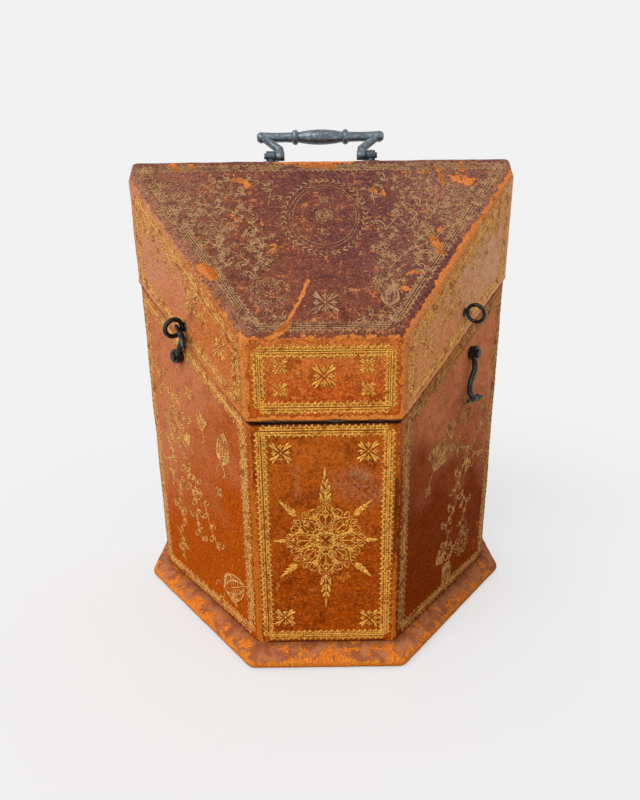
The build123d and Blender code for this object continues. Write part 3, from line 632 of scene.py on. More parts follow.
# ---- Mesh help -------------------------------------------------------------------------------
def deselect() -> None:
    """Leaves object mode with nothing selected, so that an operator acts on new work alone."""
    if bpy.context.object is not None and bpy.context.object.mode != "OBJECT":
        bpy.ops.object.mode_set(mode="OBJECT")
    bpy.ops.object.select_all(action="DESELECT")


def coordinates(piece: Piece) -> np.ndarray:
    """Reads where the vertices of a mesh are.

    Args:
        piece: The mesh.

    Returns:
        Rows of x, y, z.
    """
    flat = np.zeros(len(piece.data.vertices) * 3, np.float32)
    piece.data.vertices.foreach_get("co", flat)
    return flat.reshape(-1, 3).astype(float)


def set_coordinates(piece: Piece, points: np.ndarray) -> None:
    """Moves the vertices of a mesh to rows of x, y, z."""
    piece.data.vertices.foreach_set("co", points.astype(np.float32).ravel())
    piece.data.update()


def set_attribute(piece: Piece, name: str, values: np.ndarray) -> None:
    """Gives a mesh one number for each vertex, under a name that its material reads."""
    layer = piece.data.attributes.new(name, "FLOAT", "POINT")
    layer.data.foreach_set("value", values.astype(np.float32))


def flat_grid(columns: int, rows: int) -> tuple[Piece, np.ndarray]:
    """Adds a flat grid.

    Args:
        columns: Squares across.
        rows: Squares up.

    Returns:
        The grid, and its vertices' places across and up it, from 0 to 1.
    """
    deselect()
    bpy.ops.mesh.primitive_grid_add(x_subdivisions=columns, y_subdivisions=rows, size=2)
    return bpy.context.object, (coordinates(bpy.context.object)[:, :2] + 1) / 2


def linked(name: str, data: bpy.types.ID) -> Piece:
    """Makes an object of a mesh or curve, and leaves it active and alone selected.

    Args:
        name: The object's name.
        data: The mesh or curve.

    Returns:
        The object.
    """
    deselect()
    piece = bpy.data.objects.new(name, data)
    bpy.context.scene.collection.objects.link(piece)
    piece.select_set(True)
    bpy.context.view_layer.objects.active = piece
    return piece


def mend(merge: float = 0.0, fill: bool = False, turn: bool = True) -> None:
    """Mends the active mesh in edit mode.

    Args:
        merge: The distance within which vertices become one, or 0 for none.
        fill: Whether open ends are closed.
        turn: Whether all faces are turned outwards.
    """
    bpy.ops.object.mode_set(mode="EDIT")
    bpy.ops.mesh.select_all(action="SELECT")
    if merge:
        bpy.ops.mesh.remove_doubles(threshold=merge)
    if fill:
        bpy.ops.mesh.fill_holes(sides=0)
    if turn:
        bpy.ops.mesh.normals_make_consistent(inside=False)
    bpy.ops.object.mode_set(mode="OBJECT")


def coated(piece: Piece, material: Material, smooth: float | None = None) -> None:
    """Gives the active piece its only material, and reports it.

    Args:
        piece: The piece.
        material: Its finish.
        smooth: Angle in degrees up to which its shading is smooth, if any.
    """
    if smooth is not None:
        bpy.ops.object.shade_smooth_by_angle(angle=math.radians(smooth))
    piece.data.materials.clear()
    piece.data.materials.append(material)
    LOG.info("%s: %d faces", piece.name, len(piece.data.polygons))


def waves(points: np.ndarray, size: float) -> np.ndarray:
    """Smooth noise with swells of a size in millimetres, one number from -1 to 1 for each point."""
    return np.array([noise.noise(Vector(p) / size) for p in points])


def undulation(points: np.ndarray, wear: np.ndarray) -> np.ndarray:
    """Height of leather glued over boards, uneven and sunk where it is worn through.

    Args:
        points: Rows of x, y, z in case millimetres.
        wear: How worn each point is.

    Returns:
        One height in millimetres for each point.
    """
    depth, width, sunk = 0.6, 34.0, 0.25
    swell = depth * waves(points, width) + depth * 0.3 * waves(points, width / 4)
    return swell - sunk * np.clip((wear - 0.5) * 4, 0, 1)


# ---- Leather skins and gilt tooling ------------------------------------------------------------
@dataclass
class Half:
    """What the two halves of the chest share: a plan, the faces that leather is wrapped round, its wear."""

    form: CaseForm
    chance: random.Random
    body: str
    cell: float = 1.8                # size of the skins' squares
    plan: list[Vector] = field(init=False)
    hull: Hull = field(init=False)
    rubs: list[Rub] = field(init=False)
    stains: list[Rub] = field(init=False)

    def set_panels(self) -> None:
        """Sets the front and the two canted sides from the plan's first corners."""
        across = (self.plan[2] - self.plan[1]).normalized()
        self.front = Panel(Vector((0, self.plan[0].y, 0)), EAST, UP)
        self.right = Panel(self.plan[1], across, UP)
        self.left = Panel(self.plan[0], Vector((-across.x, across.y, 0)), UP)
        self.side_length = (self.plan[2] - self.plan[1]).length


@dataclass
class Skin:
    """One piece of covering leather, wrapped over the boards and turned in at the seam."""

    part: Half
    name: str
    node: str
    facets: list[Facet]
    blush_from: Vector               # where the dye is the ground colour
    blush_to: Vector                 # where it has turned to the second colour
    lip: float = 1.4                 # rounding of the edge at the seam
    fat: float = 0.0                 # how far the folded edge stands out beside the seam
    fray: float = 0.7                # how far the edge has shrunk back where it is frayed most
    hazes: list[Rub] = field(default_factory=list)       # pale dusty scuffs, and a painted sheen highlight on the front
    frayed: float = 7.0              # how much leather the shrinking takes with it
    crowding: float = 1.3            # how the rows crowd towards the seam

    def sheet(self, facet: Facet) -> Piece:
        """Lays a fine grid over one facet, denser towards the seam.

        Args:
            facet: The facet.

        Returns:
            The grid, with what its turned-in edge falls back by as an attribute.
        """
        piece, flat = flat_grid(facet.columns, facet.rows)
        across, up = flat[:, :1], flat[:, 1:2]
        if facet.seam is Edge.TOP:
            up = 1 - (1 - up) ** self.crowding
        if facet.seam is Edge.BOTTOM:
            up = up ** self.crowding
        low_left, low_right, high_right, high_left = (np.array(c) for c in facet.corners)
        low = low_left + (low_right - low_left) * across
        high = high_left + (high_right - high_left) * across
        points = low + (high - low) * up
        inset = np.zeros(len(points))
        if facet.seam is not Edge.NONE:
            edge, share, back = (high, 1 - up, -1.0) if facet.seam is Edge.TOP else (low, up, 1.0)
            away = np.linalg.norm((high - low) * share, axis=1)
            short = np.clip(self.lip - away, 0.0, self.lip)
            inset = self.lip - np.sqrt(np.maximum(self.lip ** 2 - short ** 2, 0.0))
            inset = inset - self.fat * np.exp(-(away / (self.lip * 1.6)) ** 2)
            near = np.clip(1 - np.linalg.norm(points - edge, axis=1) / self.frayed, 0.0, 1.0)
            broad, small, always = 15.0, 4.5, 0.45
            waver = waves(edge, broad) + 0.6 * waves(edge, small) + always
            points[:, 2] += back * self.fray * near * np.clip(waver, 0.0, 1.4)
        set_coordinates(piece, points)
        set_attribute(piece, "turned", inset)
        return piece

    def build(self, material: Material) -> None:
        """Models the skin, which stands for its CAD node.

        Args:
            material: Its leather.
        """
        sheets = [self.sheet(facet) for facet in self.facets]
        deselect()
        for sheet in sheets:
            sheet.select_set(True)
        bpy.context.view_layer.objects.active = sheets[0]
        if len(sheets) > 1:
            bpy.ops.object.join()
        piece = bpy.context.object
        piece.name = self.name
        mend(merge=0.02, turn=False)

        sharp = coordinates(piece)
        wrapped, outward = self.part.hull.wrapped(sharp)
        wear = levels(sharp, self.part.rubs)
        turned = np.zeros(len(sharp), np.float32)
        piece.data.attributes["turned"].data.foreach_get("value", turned)
        piece.data.attributes.remove(piece.data.attributes["turned"])
        height = undulation(sharp, wear) - turned
        set_coordinates(piece, self.part.form.placed(wrapped + outward * height[:, None]))
        way = np.array(self.blush_to - self.blush_from)
        blush = ((sharp - np.array(self.blush_from)) @ way) / (way @ way)
        for name, values in (
            ("wear", wear), ("stain", levels(sharp, self.part.stains)), ("haze", levels(sharp, self.hazes)),
            ("blush", np.clip(blush, 0.0, 1.0)),
        ):
            set_attribute(piece, name, values)

        solid = piece.modifiers.new("thickness", "SOLIDIFY")
        solid.thickness = self.part.form.leather * METRES
        solid.offset = -1.0
        bpy.ops.object.modifier_apply(modifier=solid.name)
        coated(piece, material, smooth=50)
        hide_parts(self.node)
        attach(piece, self.part.body)


def around(x: float, y: float, heading: float, reach: float, aside: float = 0.0) -> Point:
    """The point at a reach from another in a heading, and aside to its left."""
    return (x + math.cos(heading) * reach - math.sin(heading) * aside,
            y + math.sin(heading) * reach + math.cos(heading) * aside)


@dataclass
class Tooling:
    """The gilding of one panel: strokes of hot brass tools, in the panel's own millimetres.

    A motif takes the place that it grows from and its heading in radians, then its sizes in millimetres.
    Its numbers are shares of those sizes, as a punch has them, and half is always a half width.
    """

    panel: Panel
    part: Half
    fillet: float = 0.4              # half width of a fillet's gold
    roll: float = LACE_ROLL          # length of one scallop of the lace roll
    apart: float = 0.8               # how far a band's fillets lie off its middle
    lace_off: float = 1.45           # and how far off it the lace starts
    run: float = 4.0                 # length of a fillet's straight runs
    broaden: float = 2.0             # the dark rim of scorched leather and painted shade reaches past the gold on both sides
    unsteady: float = 0.12           # how far a tool lands from its place, in millimetres
    proud: float = 0.22              # how far a stroke stands up, for a half width of one
    strokes: list[tuple[list[Point], list[float]]] = field(default_factory=list)

    def stroke(self, points: list[Point], halves: list[float]) -> None:
        """Adds a stroke, set a little unevenly as by hand.

        Args:
            points: Places that it goes through.
            halves: The gold's half width at each.
        """
        chance = self.part.chance
        slip_x, slip_y = chance.gauss(0, self.unsteady), chance.gauss(0, self.unsteady)
        press = chance.uniform(0.8, 1.15) * self.broaden
        moved = [(x + slip_x, y + slip_y) for x, y in points]
        self.strokes.append((moved, [half * press for half in halves]))

    def dot(self, x: float, y: float, half: float) -> None:
        """A round punch mark."""
        self.stroke([(x - half * 0.8, y), (x, y), (x + half * 0.8, y)], [half * 0.45, half, half * 0.45])

    def leaf(self, x: float, y: float, heading: float, length: float, half: float) -> None:
        """A pointed leaf that swells in its middle."""
        self.stroke([around(x, y, heading, length * s) for s in (0.0, 0.35, 0.7, 1.0)],
                    [half * 0.35, half, half * 0.8, half * 0.12])

    def club(self, x: float, y: float, heading: float, length: float, half: float) -> None:
        """A leaf that is fattest near its round end."""
        self.stroke([around(x, y, heading, length * s) for s in (0.0, 0.4, 0.78, 1.0)],
                    [half * 0.25, half * 0.5, half, half * 0.45])

    def scroll(
        self, x: float, y: float, heading: float, length: float, turn: float, half: float, steps: int = 9
    ) -> Point:
        """A stroke that curls tighter towards its end, where it swells.

        Args:
            x: Where it starts.
            y: Where it starts.
            heading: Its first direction, in radians.
            length: Its length in millimetres.
            turn: How far it turns altogether, in radians.
            half: Its half width.
            steps: How many straight runs it is made of.

        Returns:
            Where it ends.
        """
        points, halves = [(x, y)], [half * 0.5]
        for i in range(steps):
            share = (i + 1) / steps
            heading += turn * 2 * share / (steps + 1)
            points.append(around(*points[-1], heading, length / steps * (1.5 - share)))
            halves.append(half * (0.6 + 0.5 * share))
        halves[-1] = half * 1.5
        self.stroke(points, halves)
        return points[-1]

    def star(self, x: float, y: float, reach: float, turn: float = 0.0) -> None:
        """An eight-leaved fleuron: paired round-ended leaves on the diagonals, sprigs between.

        Args:
            x, y: Its middle.
            reach: Its radius.
            turn: How far it is turned.
        """
        for k in range(4):
            sprig = turn + k * math.pi / 2
            broad = turn + math.pi / 4 + k * math.pi / 2
            for root, lean, start, length, half in (
                (broad, -0.17, 0.18, 0.86, 0.085), (broad, 0.17, 0.18, 0.86, 0.085),
                (sprig, 0.0, 0.24, 0.5, 0.07), (sprig, -0.7, 0.34, 0.34, 0.045),
                (sprig, 0.7, 0.34, 0.34, 0.045),
            ):
                self.club(*around(x, y, root, reach * start), root + lean, reach * length, reach * half)
        self.dot(x, y, reach * 0.09)

    def petal(self, x: float, y: float, heading: float, inner: float, outer: float) -> None:
        """A pair of facing scrolls with a leaf and a dot between, out from a centre.

        Args:
            x, y: The centre.
            heading: Which way it points.
            inner: Where it starts, from the centre.
            outer: Where it ends.
        """
        span, half = outer - inner, 0.27
        root = around(x, y, heading, inner)
        for side in SIDES:
            self.scroll(*root, heading + side * 0.85, span * 1.35, -side * 3.3, half)
            self.scroll(*root, heading + side * 0.3, span * 0.85, side * 3.6, half * 0.8, 7)
        self.leaf(*root, heading, span * 0.7, half * 1.2)
        self.dot(*around(x, y, heading, outer - span * 0.05), half * 1.3)

    def finial(self, x: float, y: float, heading: float, start: float, end: float) -> None:
        """A pointed spray of leaves that runs out from the medallion.

        Args:
            x, y: Centre of the medallion.
            heading: Which way it points.
            start: Where it starts, from the centre.
            end: Where it ends.
        """
        span = end - start
        for share, size in ((0.0, 0.42), (0.27, 0.34), (0.52, 0.22)):
            root = around(x, y, heading, start + span * share)
            for side in SIDES:
                self.scroll(*root, heading + side * 1.15, span * size * 0.75, -side * 2.6, 0.4, 6)
                self.club(*root, heading + side * 0.42, span * size * 0.8, 0.8)
        for share, length, half in ((0.0, 0.6, 0.6), (0.62, 0.4, 0.8)):
            self.leaf(*around(x, y, heading, start + span * share), heading, span * length, half)

    def lobe(self, x: float, y: float, heading: float, root: float, tip: float, spread: float) -> None:
        """One pointed lobe of the medallion: an arch of scrolls with buds along its back.

        Args:
            x: Centre of the medallion.
            y: Centre of the medallion.
            heading: Which way the lobe points, in radians.
            root: Where it starts, from the centre.
            tip: Where it ends.
            spread: Its half width.
        """
        span = tip - root

        def at(share: float, aside: float) -> Point:
            """Point of the lobe by its length and half width."""
            return around(x, y, heading, root + span * share, spread * aside)

        for side in SIDES:
            arch = ((0.0, 0.35), (0.2, 0.85), (0.42, 1.0), (0.64, 0.8), (0.82, 0.34), (1.0, 0.05))
            self.stroke([at(share, aside * side) for share, aside in arch],
                        [0.16, 0.26, 0.32, 0.3, 0.26, 0.16])
            for share, aside in ((0.12, 0.8), (0.34, 1.06), (0.58, 0.98), (0.78, 0.58), (0.92, 0.26)):
                self.leaf(*at(share, aside * side), heading + side * (1.35 - 0.7 * share), 2.3, 0.34)
            self.scroll(*at(0.08, 0.05 * side), heading + side * 0.95, span * 0.85, -side * 4.4, 0.27, 10)
            self.scroll(*at(0.42, 0.05 * side), heading + side * 0.75, span * 0.52, -side * 4.0, 0.25, 8)
            self.dot(*at(0.3, 0.66 * side), 0.34)
            self.scroll(*at(0.0, 0.3 * side), heading + side * 1.9, spread * 1.1, side * 3.6, 0.26, 8)
        self.leaf(*at(0.05, 0.0), heading, span * 0.5, 0.34)
        self.leaf(*at(0.6, 0.0), heading, span * 0.34, 0.42)
        self.dot(*at(1.08, 0.0), 0.46)

    def medallion(self, x: float, y: float) -> None:
        """The pierced star of scrolls in the middle of the front, in millimetres out from its centre.

        Args:
            x, y: Its centre.
        """
        out, quarter, eighth = partial(around, x, y), math.pi / 2, math.pi / 4
        for k in range(4):
            turn = k * quarter
            for side in SIDES:
                self.scroll(*out(turn, 1.6), turn + side * 0.5, 12.0, side * 4.9, 0.4, 12)
                self.leaf(*out(turn, 4.0), turn + side * 0.55, 4.2, 0.5)
            self.club(*out(turn, 2.0), turn, 5.4, 0.6)
            self.dot(*out(turn + eighth, 5.2), 0.6)
        for k in range(8):
            turn = k * eighth + eighth / 2
            self.petal(x, y, turn, 8.0, 16.0)
            self.club(*out(turn, 16.0), turn, 5.0, 0.46)
            for side in SIDES:
                self.scroll(*out(turn, 17.0), turn + side * 0.8, 7.0, -side * 4.2, 0.25, 8)
                self.leaf(*out(turn, 18.0), turn + side * 0.45, 4.0, 0.36)
        for k in range(8):
            turn = k * eighth + eighth / 2
            self.lobe(x, y, k * eighth, 9.5, 29.0 if k % 2 == 0 else 26.5, 6.4)
            self.petal(x, y, turn, 18.5, 27.5)
            for side in SIDES:
                root = out(turn + side * 0.2, 23.5)
                self.scroll(*root, turn - side * 0.3, 7.5, side * 4.4, 0.27, 9)
                self.club(*root, turn + side * 0.35, 3.6, 0.5)
        for k in range(32):
            self.dot(*out(k * math.pi / 16, 8.6), 0.3)
        for degrees, end in ((90, 58), (270, 57), (0, 38), (180, 38), (44, 45.5), (136, 46.5), (222, 45.5),
                             (318, 45.5)):
            self.finial(x, y, math.radians(degrees), 29.0, end)

    def daisy(self, x: float, y: float, reach: float, petals: int = 8) -> None:
        """A round open flower: two rings of scalloped petals, hatched, round a dotted heart.

        Args:
            x, y: Its heart.
            reach: Its radius.
            petals: How many petals each ring has.
        """
        for ring, share in ((0, 1.0), (1, 0.62)):
            outer = reach * share
            for k in range(petals):
                first = math.tau * (k + 0.5 * ring) / petals
                swell = [outer * (0.78 + 0.24 * math.sin(math.pi * i / 5)) for i in range(6)]
                self.stroke([around(x, y, first + math.tau / petals * i / 5, swell[i]) for i in range(6)],
                            [0.24, 0.3, 0.34, 0.34, 0.3, 0.24])
                for lean in (-0.12, 0.12):
                    turn = first + math.pi / petals + lean
                    self.leaf(*around(x, y, turn, outer * 0.6), turn, outer * 0.3, 0.34)
        for k in range(5):
            self.dot(*around(x, y, math.tau * k / 5, reach * 0.17), reach * 0.05 + 0.12)
        self.dot(x, y, reach * 0.06 + 0.12)

    def bloom(self, x: float, y: float, heading: float, reach: float) -> None:
        """A closed flower seen from the side: an almond of hatched petals in curling sepals.

        Args:
            x, y: Its foot.
            heading: Which way it points.
            reach: Its length.
        """

        def at(share: float, aside: float) -> Point:
            """Point of the flower by its length, and by its half width there."""
            swell = reach * 0.3 * math.sin(math.pi * min(max(share, 0.0), 1.0)) ** 0.75
            return around(x, y, heading, reach * share, swell * aside)

        for aside in (-1.0, -0.55, 0.55, 1.0):
            self.stroke([at(s, aside) for s in (0.02, 0.15, 0.32, 0.5, 0.68, 0.85, 0.98)],
                        [0.3, 0.5, 0.6, 0.6, 0.55, 0.45, 0.2])
        self.stroke([at(s, 0.0) for s in (0.1, 0.4, 0.7, 1.12)], [0.3, 0.55, 0.5, 0.15])
        for k in range(7):
            share = 0.2 + 0.1 * k
            for side in SIDES:
                hook = ((0.0, 0.12), (0.07, 0.5), (0.09, 0.9))
                self.stroke([at(share + along, out * side) for along, out in hook], [0.3, 0.4, 0.22])
        for side in SIDES:
            self.scroll(x, y, heading + side * 1.1, reach * 0.75, -side * 2.4, 0.6, 9)
            self.scroll(x, y, heading + side * 2.0, reach * 0.5, side * 2.6, 0.5, 7)
            self.club(x, y, heading + side * 0.75, reach * 0.45, 0.9)

    def spray(self, x: float, y: float, heading: float, reach: float, leaves: int = 5) -> None:
        """A fan of long round-ended leaves on a curled stalk.

        Args:
            x, y: Its foot.
            heading: Which way it points.
            reach: Length of its longest leaf.
            leaves: How many leaves it has.
        """
        for k in range(leaves):
            lean = (k - (leaves - 1) / 2) * 0.36
            size = reach * (1 - 0.34 * abs(lean))
            self.club(x, y, heading + lean, size, 1.0)
            for side in SIDES:
                root = around(x, y, heading + lean, size * 0.35)
                self.leaf(*root, heading + lean + side * 0.22, size * 0.7, 0.4)
        self.scroll(x, y, heading + math.pi - 0.5, reach * 0.7, 2.2, 0.5, 8)

    def lace(self, start: Point, end: Point, side: float) -> None:
        """A roll of small scallops, each with a dot in it and a bud between, along a line.

        Args:
            start: Where the line starts.
            end: Where it ends.
            side: 1 for scallops on its left, -1 for its right.
        """
        length = math.dist(start, end)
        heading = math.atan2(end[1] - start[1], end[0] - start[0])
        count = max(1, round(length / self.roll))
        for i in range(count):
            for shape, halves in (
                (((0.08, 0.1), (0.18, 1.4), (0.5, 2.15), (0.82, 1.4), (0.92, 0.1)),
                 [0.24, 0.36, 0.42, 0.36, 0.24]),
                (((0.38, 0.75), (0.5, 0.85), (0.62, 0.75)), [0.24, 0.5, 0.24]),
                (((0.5, 2.2), (0.5, 2.8), (0.5, 3.4)), [0.34, 0.5, 0.12]),
                (((1.0, 0.2), (1.0, 1.2), (1.0, 2.1)), [0.2, 0.4, 0.14]),
            ):
                self.stroke([
                    around(*start, heading, (i + along) * length / count, out * side * self.roll / LACE_ROLL)
                    for along, out in shape], halves)

    def band(self, start: Point, end: Point, double: bool) -> None:
        """Two close fillets with a lace roll on their inner side.

        Args:
            start: Where its middle line starts.
            end: Where it ends.
            double: Whether there is lace on the outer side too.
        """
        length = math.dist(start, end)
        out_x, out_y = -(end[1] - start[1]) / length, (end[0] - start[0]) / length
        count = max(1, round(length / self.run))
        for offset in (-self.apart, self.apart):
            a, b = ((x + out_x * offset, y + out_y * offset) for x, y in (start, end))
            self.stroke([(a[0] + (b[0] - a[0]) * i / count, a[1] + (b[1] - a[1]) * i / count)
                         for i in range(count + 1)], [self.fillet] * (count + 1))
        for side in (1, -1) if double else (1,):
            aside_x, aside_y = out_x * self.lace_off * side, out_y * self.lace_off * side
            self.lace(*((x + aside_x, y + aside_y) for x, y in (start, end)), side)

    def frame(self, corners: list[Point], insets: list[float], double: bool = True) -> list[Point]:
        """Bands set in from the sides of a panel.

        Args:
            corners: The panel's corners, anticlockwise.
            insets: How far each side's band lies inside it.
            double: Whether the bands have lace on both sides.

        Returns:
            The corners where the bands meet.
        """
        lines = []
        for a, b, inset in zip(corners, corners[1:] + corners[:1], insets):
            length = math.dist(a, b)
            way = (b[0] - a[0], b[1] - a[1])
            lines.append(((a[0] - way[1] / length * inset, a[1] + way[0] / length * inset), way))
        met = []
        for i, (point, way) in enumerate(lines):
            before, back = lines[i - 1]
            cross = back[0] * way[1] - back[1] * way[0]
            share = ((point[0] - before[0]) * way[1] - (point[1] - before[1]) * way[0]) / cross
            met.append((before[0] + back[0] * share, before[1] + back[1] * share))
        for a, b in zip(met, met[1:] + met[:1]):
            self.band(a, b, double)
        return met

    def stem(self, points: list[Point], curl: float, half: float, lush: float = 1.0) -> None:
        """A trailing stem with scrolls to either side, leaves, berries and small flowers.

        Args:
            points: Places that the stem goes through.
            curl: Length of its side scrolls.
            half: Half width of the stem.
            lush: Share of the scrolls that carry a flower.
        """
        ends = [points[0]] + points + [points[-1]]
        run = [
            tuple(0.5 * (2 * b[i] + (c[i] - a[i]) * s + (2 * a[i] - 5 * b[i] + 4 * c[i] - d[i]) * s * s
                         + (3 * b[i] - 3 * c[i] + d[i] - a[i]) * s ** 3) for i in (0, 1))
            for a, b, c, d in zip(ends, ends[1:], ends[2:], ends[3:]) for s in (0.0, 0.2, 0.4, 0.6, 0.8)
        ] + [points[-1]]
        self.stroke(run, [half] * len(run))
        side, travelled, due = 1, 0.0, curl * 0.3
        for a, b in zip(run, run[1:]):
            travelled += math.dist(a, b)
            if travelled < due:
                continue
            due = travelled + curl * 0.4
            side = -side
            heading = math.atan2(b[1] - a[1], b[0] - a[0]) + side * 0.6
            size = curl * self.part.chance.uniform(0.7, 1.15)
            end = self.scroll(*b, heading, size, side * self.part.chance.uniform(2.2, 3.7), half * 1.5, 10)
            for lean, share, fat in (
                (0.75, 0.4, 1.9), (1.15, 0.3, 1.6), (-0.7, 0.34, 1.8), (-1.3, 0.26, 1.5),
            ):
                self.club(*b, heading + side * lean, size * share, half * fat)
            self.dot(*around(*b, heading + side * 0.95, size * 0.5), half * 1.6)
            if self.part.chance.random() < lush:
                for k in range(5):
                    self.club(*end, heading + math.tau * k / 5, size * 0.2, half * 1.8)

    def build(self, name: str, material: Material, thin: list[Rub] | None = None) -> None:
        """Turns the strokes into low relief on the leather.

        Args:
            name: Name of the piece.
            material: The gilt finish.
            thin: Stretches where the gold alone is worn.
        """
        curve = bpy.data.curves.new(name, "CURVE")
        curve.dimensions = "3D"
        curve.twist_mode = "Z_UP"
        curve.bevel_depth = 1.0
        curve.bevel_resolution = 0
        curve.use_fill_caps = True
        for points, halves in self.strokes:
            spline = curve.splines.new("POLY")
            spline.points.add(len(points) - 1)
            for slot, (x, y), half in zip(spline.points, points, halves):
                slot.co = (x, y, 0.0, 1.0)
                slot.radius = half
        linked(name, curve)
        bpy.ops.object.convert(target="MESH")
        piece = bpy.context.object
        local = coordinates(piece)
        sharp = self.panel.points(local)
        wrapped, outward = self.part.hull.wrapped(sharp)
        wear = levels(sharp, self.part.rubs + (thin or []))
        clear, sunk, crest, flat = 0.02, -0.5, 1.1, 0.02
        height = undulation(sharp, wear) + clear + np.clip(local[:, 2], sunk, crest) * self.proud
        set_coordinates(piece, self.part.form.placed(wrapped + outward * height[:, None]))
        set_attribute(piece, "wear", wear)
        set_attribute(piece, "rim", (np.abs(local[:, 2]) < flat).astype(float))
        mend()
        coated(piece, material)
        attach(piece, self.part.body)


# ---- The two halves of the chest ---------------------------------------------------------------
def between(a: Vector, b: Vector, *rows: tuple[float, ...]) -> list[Rub]:
    """Rubs on the way from a to b, each row with the shares where it lies, its reach and its strength."""
    return [Rub(a.lerp(b, start), a.lerp(b, end), *rest) for start, end, *rest in rows]


@dataclass
class Body(Half):
    """The lower case's leather and tooling."""

    body: str = "body"

    def __post_init__(self) -> None:
        """Works out the corners, faces and worn places."""
        form = self.form
        front, back = form.body_front_width / 2, form.back_width / 2
        self.plan = [Vector((x, y, 0)) for x, y in (
            (-front, 0), (front, 0), (back, form.cant_depth), (back, form.depth), (-back, form.depth),
            (-back, form.cant_depth))]
        walls = [(a, (b - a).cross(UP)) for a, b in zip(self.plan, self.plan[1:] + self.plan[:1])]
        self.hull = hull_of(walls, form.body_round)
        self.set_panels()
        self.rubs, self.stains = self.worn_places(), self.stained_places()

    def wall(self, first: int, second: int) -> Facet:
        """The upright facet between two corners of the plan, from the floor to the seam.

        Args:
            first: Corner where it starts.
            second: Corner where it ends.

        Returns:
            The facet.
        """
        a, b = self.plan[first], self.plan[second]
        high_a, high_b = (Vector((p.x, p.y, self.form.seam_z(p.y))) for p in (a, b))
        rows = round(self.form.seam_z(self.form.cant_depth) / self.cell)
        return Facet((a, b, high_b, high_a), max(2, round((b - a).length / self.cell)), rows, Edge.TOP)

    def worn_places(self) -> list[Rub]:
        """Places the worn corners, seam edge and scuffs, where the hide shows.

        Returns:
            The rubs.
        """
        form, far = self.form, self.side_length
        corner, top, high = form.body_front_width / 2, form.seam_front_z, form.seam_z(form.cant_depth)
        rubs = self.front.rubs(
            (-corner, 14, -corner, 140, 4.0, 0.86), (-corner, 140, -corner, top, 3.2, 0.55),
            (corner, 14, corner, 74, 3.8, 0.78), (corner, 74, corner, top, 3.0, 0.58),
            (14, 73, 12, 70, 5.5, 0.75), (-29, 53.5, -24, 54, 2.4, 0.56), (-14, 60, -9, 61, 2.4, 0.5),
            (20, 64, 24, 66, 2.6, 0.5), (30, 55, 34, 48, 5.0, 0.4), (20, 150, 28, 146, 9.0, 0.38),
            (-34, 66, -38, 60, 6.0, 0.42), (-corner + 6, 15.5, corner - 6, 15.5, 1.8, 0.5))
        for panel in (self.left, self.right):
            rubs += panel.rubs((far, 20, far, high, 2.6, 0.4), (4, 15, far, 15, 2.0, 0.5),
                               (0, top, far, high, 2.2, 0.48))
        return rubs

    def stained_places(self) -> list[Rub]:
        """Places the darkening in the angle with the foot, the painted shade along the seam under the lid,
        and darker patches and lines on the front.

        Returns:
            The stains.
        """
        form, far = self.form, self.side_length
        corner, top, high = form.body_front_width / 2, form.seam_front_z, form.seam_z(form.cant_depth)
        stains = self.front.rubs(
            (-44, 14, 44, 14, 2.6, 0.62), (-50, top, 50, top, 3.2, 0.95), (-38, 118, -44, 106, 12.0, 0.3),
            (0, 108, 0, 98, 26.0, 0.3), (-34, 174, -28, 168, 8.0, 0.42), (28, 174, 33, 168, 8.0, 0.4),
            (30, 32, 36, 36, 7.0, 0.25), (corner - 1, 92, corner - 1, 150, 2.4, 0.6),
            (-corner + 2.5, 150, -corner + 2.5, 186, 1.6, 0.5))
        for panel, seam in ((self.left, 0.7), (self.right, 1.0)):
            # Along the seam this is painted shade under the lid.
            stains += panel.rubs((0, 14, far, 14, 2.4, 0.6), (0, top, far, high, 2.4, seam))
        return stains

    def skins(self, leathers: dict[str, Material]) -> None:
        """Makes the four leathers of the body.

        Args:
            leathers: The leather of each face.
        """
        front, left, right, depth = self.front, self.left, self.right, self.form.depth
        # The first two are a painted sheen highlight on the front, the third a scuff.
        scuffs_and_sheen = front.rubs((23, 152, 26, 150, 9.0, 0.62), (14, 146, 34, 140, 12.0, 0.3),
                            (-20, 136, -19, 160, 1.6, 0.4))
        for name, face, walls, blush_from, blush_to, hazes in (
            ("front", "front", ((0, 1),), front.point(0, 40), front.point(10, 190), scuffs_and_sheen),
            ("right_side", "right", ((1, 2), (2, 3)), right.point(70, 60), right.point(90, 250), []),
            ("back", "back", ((3, 4),), Vector((0, depth, 0)), Vector((0, depth, 300)), []),
            ("left_side", "left", ((4, 5), (5, 0)), left.point(26, 76), left.point(112, 206), []),
        ):
            facets = [self.wall(*corners) for corners in walls]
            Skin(self, f"{name}_leather", f"body_leather_{face}", facets, blush_from, blush_to,
                 hazes=hazes).build(leathers[face])

    @staticmethod
    def left_garland(side: Tooling) -> None:
        """The left side's tulip, heart-shaped leaf and trailing stems.

        Args:
            side: The side's tooling.
        """
        side.stem([(138, 210), (124, 192), (106, 186), (96, 168), (104, 150), (99, 126)], 17.0, 0.36, 0.4)
        side.stem([(99, 126), (92, 112), (84, 98), (86, 82), (78, 68)], 16.0, 0.36, 0.4)
        side.stem([(132, 150), (120, 136), (128, 118), (112, 104), (118, 86), (108, 74)], 15.0, 0.34, 0.4)
        side.stem([(100, 126), (84, 122), (72, 106), (62, 84), (52, 70)], 14.0, 0.34, 0.3)
        side.stem([(126, 62), (114, 52), (118, 36)], 12.0, 0.32, 0.4)
        side.bloom(40, 149, math.radians(103), 27.0)
        side.bloom(48, 37, math.radians(150), 36.0)
        side.daisy(116, 167, 12.0)
        side.spray(66, 168, math.radians(85), 17.0)
        side.spray(88, 150, math.radians(60), 12.0, 4)
        side.star(46.5, 124, 5.0)
        side.star(34, 34, 6.0)
        side.star(84, 196, 6.0, 0.3)

